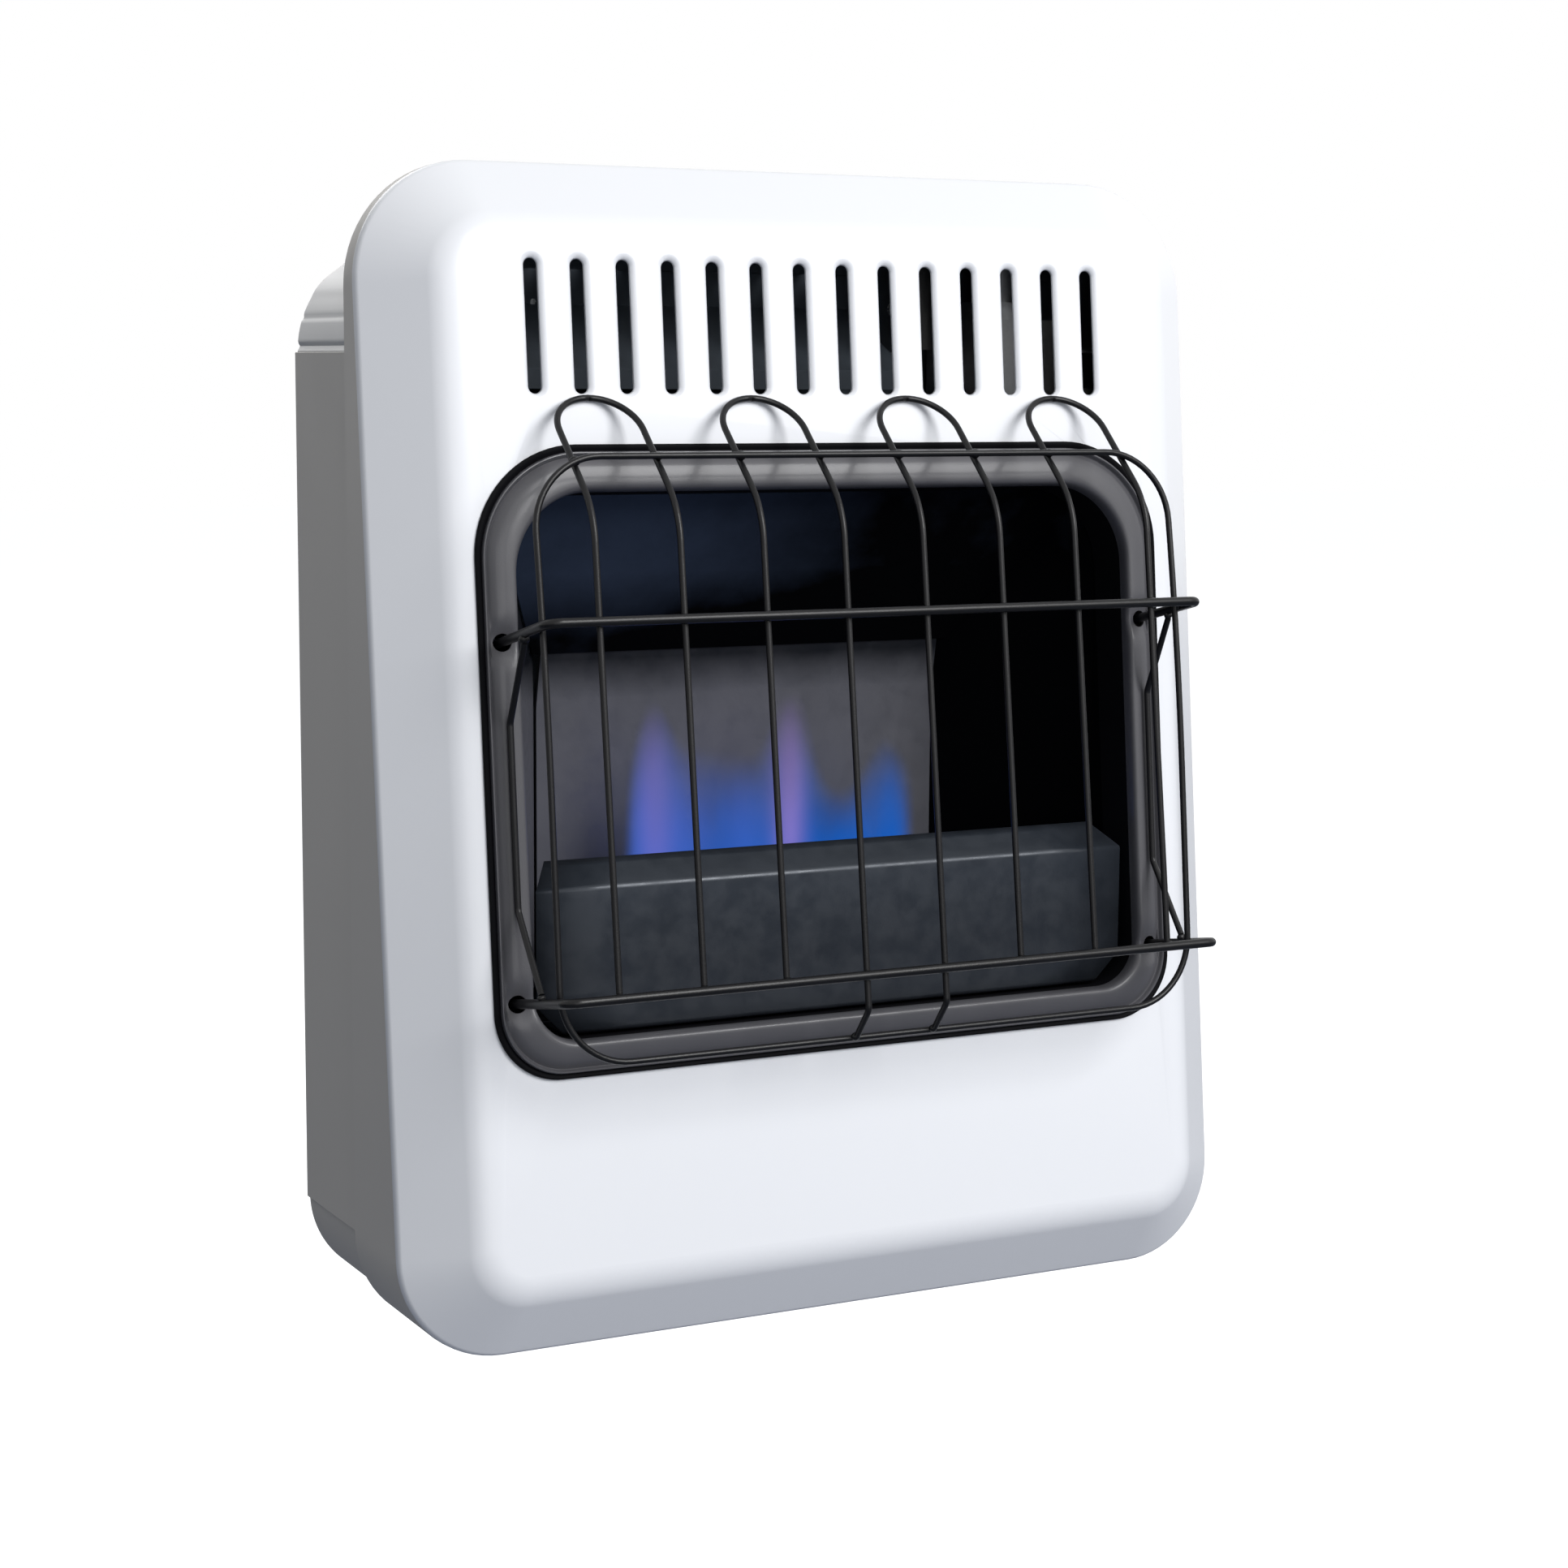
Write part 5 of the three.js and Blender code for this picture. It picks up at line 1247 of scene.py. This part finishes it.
class HEATER_OT_controls(Operator):
    """Moulds the knob and the igniter's button, and prints the dial"""

    bl_idname = "heater.controls"
    bl_label = "Controls"

    # Outlines: radius, with the height above the foot or the depth below the top
    knob_foot = (
        (0.0045, 0.002), (0.0175, 0.002), (0.0182, 0.0), (0.0194, 0.0), (0.0199, 0.0005),
        (0.0200, 0.0014), (0.0199, 0.0028), (0.0192, 0.0036), (0.0178, 0.0042),
        (0.0167, 0.0052), (0.0162, 0.0066), (0.0160, 0.0090),
    )
    knob_top = (
        (0.0158, 0.0060), (0.0157, 0.0030), (0.0153, 0.0013), (0.0144, 0.0004), (0.0130, 0.0),
        (0.0060, 0.0003), (0.0030, 0.0004),
    )
    flutes = 12
    flute_depth = 0.0011
    flute_start = 0.0060
    cap_height = 0.003
    cap_edge = (
        (0.0060, 0.0), (0.0066, 0.0001), (0.0070, 0.0006), (0.0070, 0.0018), (0.0067, 0.0026),
    )
    cap_top = ((0.0059, 0.0), (0.0046, 0.0001), (0.0030, 0.0005), (0.0012, 0.0007))
    dial_radius = 0.0246
    dial_step = 52
    print_height = 0.00006
    print_size = 0.0052

    def execute(self, context):
        paint = finishes(context)
        self.knob(paint)
        self.button(paint)
        self.dial(context, paint)
        return {"FINISHED"}

    def ends(self, node):
        """A node's middle in plan, with the heights of its foot and its top."""
        low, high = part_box(node)
        return (low[0] + high[0]) / 2, (low[1] + high[1]) / 2, low[2], high[2]

    def turned(self, name, x, y, steps, segments, dent=lambda angle, height: 0.0):
        """A turned piece from (radius, height) steps, closed at both ends."""
        points = []
        for radius, height in steps:
            for index in range(segments):
                angle = 2 * pi * index / segments
                reach = radius - dent(angle, height)
                points.append((x + reach * cos(angle), y + reach * sin(angle), height))
        faces = ring_faces(len(steps), segments)
        faces.append(range(segments))
        faces.append(range(len(points) - 1, len(points) - 1 - segments, -1))
        piece = skin(name, points, faces)
        soften(piece.data, TURNED_ANGLE)
        return piece

    def knob(self, paint):
        x, y, base, top = self.ends("control_knob")
        steps = [(radius, base + rise) for radius, rise in self.knob_foot]
        steps += [(radius, top - fall) for radius, fall in self.knob_top]

        def flute(angle, height):
            start = base + self.flute_start
            if height < start or height > top - 0.0002:
                return 0.0
            fade = min(1.0, (height - start) / 0.003)
            return self.flute_depth * fade * max(0.0, cos(self.flutes * angle)) ** 1.5

        piece = self.turned("fluted_knob", x, y, steps, 144, flute)
        dress(piece, paint["black_plastic"], "knob", "black_plastic", "control_knob")
        corners = [
            Vector((x + side, y + along, top + rise))
            for rise in (-0.0008, 0.00015)
            for along in (-0.0148, -0.0050)
            for side in (-0.0007, 0.0007)
        ]
        faces = [(0, 2, 3, 1), (4, 5, 7, 6), (0, 1, 5, 4), (2, 6, 7, 3), (0, 4, 6, 2), (1, 3, 7, 5)]
        pointer = skin("knob_pointer", corners, faces)
        round_edges(pointer, 0.0002)
        dress(pointer, paint["dial_print"], "knob", "black_plastic")

    def button(self, paint):
        x, y, base, top = self.ends("piezo_button")
        cap = top - self.cap_height
        steps = [(0.0050, base), (0.0055, base + 0.0005), (0.0055, cap - 0.0002)]
        steps += [(radius, cap + rise) for radius, rise in self.cap_edge]
        steps += [(radius, top - fall) for radius, fall in self.cap_top]
        piece = self.turned("igniter_button", x, y, steps, 64)
        dress(piece, paint["red_plastic"], "button", "red_plastic", "piezo_button")

    def dial(self, context, paint):
        """Numbers round the knob, from off to high."""
        x, y, *_ = self.ends("control_knob")
        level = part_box("control_plate")[1][2] + self.print_height
        labels = []
        for number in range(6):
            angle = radians(-90 - number * self.dial_step)
            words = bpy.data.curves.new("number", "FONT")
            words.body = str(number)
            words.size = self.print_size
            words.extrude = self.print_height
            words.align_x = "CENTER"
            words.align_y = "CENTER"
            label = new_object("number", words)
            reach = self.dial_radius
            label.location = (x + reach * cos(angle), y + reach * sin(angle), level)
            labels.append(label)
        context.view_layer.update()
        work = bmesh.new()
        depsgraph = context.evaluated_depsgraph_get()
        for label in labels:
            mesh = bpy.data.meshes.new_from_object(label.evaluated_get(depsgraph))
            mesh.transform(label.matrix_world)
            work.from_mesh(mesh)
            bpy.data.meshes.remove(mesh)
            bpy.data.curves.remove(label.data)
        bmesh.ops.remove_doubles(work, verts=work.verts, dist=MERGE)
        mesh = bpy.data.meshes.new("dial_numbers")
        work.to_mesh(mesh)
        work.free()
        piece = new_object("dial_numbers", mesh)
        dress(piece, paint["dial_print"], HOUSING, "black_plastic")


class HEATER_OT_sheet_parts(Operator):
    """Rounds the edges of the plates and brackets, and smooths the tubes and fittings, that keep
    their packed shape
    """

    bl_idname = "heater.sheet_parts"
    bl_label = "Plates and fittings"

    edge = 0.00035
    kept = ("orifice", "burner_deck", "valve_plunger")
    # Words in the names of the folded plates
    plates = ("bracket", "plate", "hanger", "hood", "floor", "rail", "deflector", "clip")
    # Finishes other than the slot's: the firebox's back and left walls take a lit copy of the
    # firebox steel with painted shadow at the top, the deflector takes dark steel as painted shade.
    tones = {
        "firebox_back": "lit_firebox_painted_shade",
        "firebox_left": "lit_firebox_painted_shade",
        "back_panel": "galvanised",
        "heat_deflector": "bare_steel_in_painted_shade",
    }

    def execute(self, context):
        paint = finishes(context)
        done = {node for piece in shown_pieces() for node in piece.get("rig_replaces", [])}
        for part in frame["record"]["subparts"]:
            node, slot = part["node"], part["material_slot"]
            if node in done:
                continue
            material = paint[self.tones.get(node, slot)]
            if node in self.kept:
                target = frame["nodes"][node].data
                target.materials.clear()
                target.materials.append(material)
                continue
            piece = loose_copy("finished_" + node, node)
            if any(word in node for word in self.plates):
                round_edges(piece, self.edge)
            dress(piece, material, self.body_of(node), slot, node)
            # The back panel's front face, inside the case, takes the dark steel: painted shade.
            if node == "back_panel":
                lined(piece, paint["bare_steel_in_painted_shade"], lambda face: face.normal.y < -0.5)
        return {"FINISHED"}

    def body_of(self, node):
        for body, part in frame["record"]["behaviour"]["bodies"].items():
            if node in part:
                return body
        return HOUSING


class HEATER_OT_screws(Operator):
    """Drives the sheet-metal screws"""

    bl_idname = "heater.screws"
    bl_label = "Screws"

    back_level = -0.006
    plate_inset = 0.0055
    panel_sink = 0.0024
    # Distance from the middle, then two heights above the panel's foot
    back_rows = ((0.163, 0.075, 0.38), (0.09, 0.024, 0.435))

    def execute(self, context):
        self.paint = finishes(context)["zinc"]
        self.tree = screw_tree()
        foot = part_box("front_panel")[0][2]
        points = [
            ((x, self.back_level, foot + rise), (-pi / 2, 0.0, 0.7 * x * 40))
            for out, *rises in self.back_rows
            for x in (-out, out)
            for rise in rises
        ]
        self.row("back_screws", points, 0.0036)
        low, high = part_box("control_plate")
        inset = self.plate_inset
        points = [
            ((x, y, high[2]), (0.0, 0.0, 30 * x + 50 * y))
            for x in (low[0] + inset, high[0] - inset)
            for y in (low[1] + inset, high[1] - inset)
        ]
        self.row("control_plate_screws", points, 0.0026)
        for side in ("left", "right"):
            node = "panel_screw_" + side
            low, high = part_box(node)
            middle = (low + high) / 2
            spot = (middle.x, middle.y, low.z + self.panel_sink)
            self.row("cross_" + node, [(spot, (pi, 0.0, 0.4))], 0.004, node)
        return {"FINISHED"}

    def row(self, name, points, radius, *nodes):
        mesh = new_mesh(name, [point for point, turn in points])
        turns = [angle for point, turn in points for angle in turn]
        mark_points(mesh, "turn", turns, "FLOAT_VECTOR", "vector")
        piece = new_object(name, mesh)
        grown(piece, self.tree, {"Radius": radius, "Rise": radius * 0.6, "Material": self.paint})
        soften(piece.data, TURNED_ANGLE)
        dress(piece, self.paint, HOUSING, "zinc", *nodes)


class HEATER_OT_flames(Operator):
    """Lights the blue flames behind the burner cover"""

    bl_idname = "heater.flames"
    bl_label = "Flames"

    # Tongues: place across, half width, extra height, share of violet
    tongues = (
        (-0.0600, 0.0125, 0.032, 0.52), (-0.040, 0.014, 0.012, 0.16), (-0.016, 0.016, 0.008, 0.12),
        (0.0065, 0.0090, 0.034, 1.0), (0.030, 0.010, -0.010, 0.0), (0.0545, 0.011, 0.012, 0.0),
    )
    left, right = -0.0735, 0.0705
    across, up = 120, 32
    rise = 0.050
    lift = 0.0004
    shift = 0.0045

    def execute(self, context):
        paint = finishes(context)["burner_flame"]
        low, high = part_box("burner_deck")
        for number in range(3):
            depth = (low[1] + high[1]) / 2 + (number - 1) * self.shift
            piece = self.sheet(number, depth, high[2] + self.lift)
            dress(piece, paint, HOUSING, "soot_black")
        return {"FINISHED"}

    def height(self, x, number):
        rise = self.rise + 0.002 * sin(160 * x + 2.1 * number)
        for spot, width, extra, _ in self.tongues:
            rise += extra * exp(-(abs((x - spot) / width) ** 2.4))
        return rise

    def sheet(self, number, depth, base):
        """One thin sheet of flame, which carries its own glow and its violet share."""
        points, glow, violet = [], [], []
        for column in range(self.across + 1):
            share = column / self.across
            x = self.left + (self.right - self.left) * share
            rise = self.height(x, number)
            edge = min(1.0, 22 * share, 16 * (1 - share))
            pink = sum(
                tone * exp(-(((x - spot) / (0.8 * width)) ** 2))
                for spot, width, _, tone in self.tongues
            )
            for row in range(self.up + 1):
                level = row / self.up
                lean = 0.004 * level * level * sin(52 * x)
                sway = 0.0015 * level * sin(70 * x + number)
                points.append((x + lean, depth + sway, base + rise * level))
                glow.append(0.90 * edge * edge * (3 - 2 * edge) * (1 - level) ** 1.25)
                violet.append(min(1.0, pink * (0.45 + 0.55 * level)))
        faces = [(a, d, c, b) for a, b, c, d in grid_faces(self.across + 1, self.up + 1)]
        mesh = new_mesh(f"burner_flame_{number + 1}", points, faces=faces)
        mark_points(mesh, "glow", glow)
        mark_points(mesh, "violet", violet)
        mesh.shade_smooth()
        return new_object(mesh.name, mesh)


class HEATER_OT_stage(Operator):
    """Sets the camera, lamps, floor and room"""

    bl_idname = "heater.stage"
    bl_label = "Stage"

    eye = (-0.6238, -1.2691, 0.0211)
    right = (0.8868, -0.4621, 0.0065)
    ahead = (0.4587, 0.8784, -0.1339)
    aim = (0, -0.08, -0.13)
    floor_reach = 12.0
    # Name, place, size and share of the main lamp's power
    lights = (
        ("key", (0.96, -2.48, 1.37), 1.5, 1.0),
        ("front", (-0.6, -2.75, 0.05), 1.6, 0.12),
        ("back", (-0.6, 2.2, 1.8), 1.8, 0.30),
    )

    def execute(self, context):
        settings = context.scene.heater_stage
        self.camera(context, settings.lens)
        self.floor(CAD_BOX[0][2] - settings.floor_drop)
        self.lamps(settings.key)
        self.room(context, settings.fill)
        context.scene.view_settings.view_transform = "Standard"
        return {"FINISHED"}

    def camera(self, context, lens):
        data = bpy.data.cameras.new("view")
        data.lens = lens
        data.sensor_width = 36
        ahead = Vector(self.ahead).normalized()
        up = Vector(self.right).normalized().cross(ahead).normalized()
        right = ahead.cross(up).normalized()
        turn = Matrix((right, up, -ahead)).transposed().to_4x4()
        camera = new_object("view", data)
        camera.matrix_world = Matrix.Translation(self.eye) @ turn
        context.scene.camera = camera

    def floor(self, level):
        reach = self.floor_reach
        corners = ((-reach, -reach), (reach, -reach), (reach, reach), (-reach, reach))
        mesh = new_mesh("floor", [(x, y, level) for x, y in corners], faces=[(0, 1, 2, 3)])
        tree = new_finish("pale_floor")
        tree.nodes.clear()
        seen = add(tree, "ShaderNodeLightPath")["Is Camera Ray"]
        tone = blended(tree, seen, (0.20, 0.22, 0.27), (0.72, 0.72, 0.72))
        matt = add(tree, "ShaderNodeBsdfDiffuse", {"Color": tone})
        share = add(tree, "ShaderNodeMath", {0: seen, 1: 0.86}, operation="MULTIPLY")
        bright = add(tree, "ShaderNodeEmission", {"Strength": share["Value"]})
        total = add(tree, "ShaderNodeAddShader", {0: matt["BSDF"], 1: bright["Emission"]})
        add(tree, "ShaderNodeOutputMaterial", {"Surface": total["Shader"]})
        mesh.materials.append(FINISHES["pale_floor"])
        new_object("floor", mesh)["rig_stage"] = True

    def lamps(self, power):
        for name, spot, size, share in self.lights:
            data = bpy.data.lights.new(name, "AREA")
            data.shape = "SQUARE"
            data.size = size
            data.energy = power * share
            lamp = new_object(name, data)
            lamp.location = spot
            aim = Vector(self.aim) - Vector(spot)
            lamp.rotation_euler = aim.to_track_quat("-Z", "Y").to_euler()

    def room(self, context, fill_light):
        """A pale blue room that the camera and every reflection see as white."""
        world = bpy.data.worlds.new("room")
        context.scene.world = world
        world.use_nodes = True
        tree = world.node_tree
        tree.nodes.clear()
        light = {"Color": (0.88, 0.94, 1.0, 1), "Strength": fill_light}
        light = add(tree, "ShaderNodeBackground", light)
        white = add(tree, "ShaderNodeBackground", {"Color": (1, 1, 1, 1), "Strength": 1})
        rays = add(tree, "ShaderNodeLightPath")
        seen = rays["Is Camera Ray"]
        for other in ("Is Glossy Ray", "Is Transmission Ray"):
            both = {0: seen, 1: rays[other]}
            seen = add(tree, "ShaderNodeMath", both, operation="MAXIMUM")["Value"]
        mix = {"Fac": seen, 1: light["Background"], 2: white["Background"]}
        shown = add(tree, "ShaderNodeMixShader", mix)
        add(tree, "ShaderNodeOutputWorld", {"Surface": shown["Shader"]})


PIECES = (
    HEATER_OT_front_panel,
    HEATER_OT_bezel,
    HEATER_OT_guard,
    HEATER_OT_case,
    HEATER_OT_burner_cover,
    HEATER_OT_controls,
    HEATER_OT_screws,
    HEATER_OT_sheet_parts,
    HEATER_OT_flames,
    HEATER_OT_stage,
)
SETTINGS = {
    "heater_panel": HeaterPanelSettings,
    "heater_bezel": HeaterBezelSettings,
    "heater_guard": HeaterGuardSettings,
    "heater_colours": HeaterColourSettings,
    "heater_stage": HeaterStageSettings,
}


class HEATER_PT_pieces(Panel):
    """Settings and pieces of the heater"""

    bl_idname = "HEATER_PT_pieces"
    bl_label = "Blue Flame Heater"
    bl_space_type = "VIEW_3D"
    bl_region_type = "UI"
    bl_category = "Heater"

    def draw(self, context):
        layout = self.layout
        for name, group in SETTINGS.items():
            box = layout.box()
            box.label(text=group.__doc__)
            for label in group.__annotations__:
                box.prop(getattr(context.scene, name), label)
        for piece in PIECES:
            layout.operator(piece.bl_idname)


CLASSES = (*SETTINGS.values(), *PIECES, HEATER_PT_pieces)


def register():
    for kind in CLASSES:
        bpy.utils.register_class(kind)
    for name, group in SETTINGS.items():
        setattr(bpy.types.Scene, name, PointerProperty(type=group))


def unregister():
    for name in SETTINGS:
        delattr(bpy.types.Scene, name)
    for kind in reversed(CLASSES):
        bpy.utils.unregister_class(kind)


def main():
    register()
    bpy.ops.heater.front_panel()
    bpy.ops.heater.bezel()
    bpy.ops.heater.guard()
    bpy.ops.heater.case()
    bpy.ops.heater.burner_cover()
    bpy.ops.heater.controls()
    bpy.ops.heater.screws()
    bpy.ops.heater.sheet_parts()
    bpy.ops.heater.flames()
    bpy.ops.heater.stage()


if __name__ == "__main__":
    main()
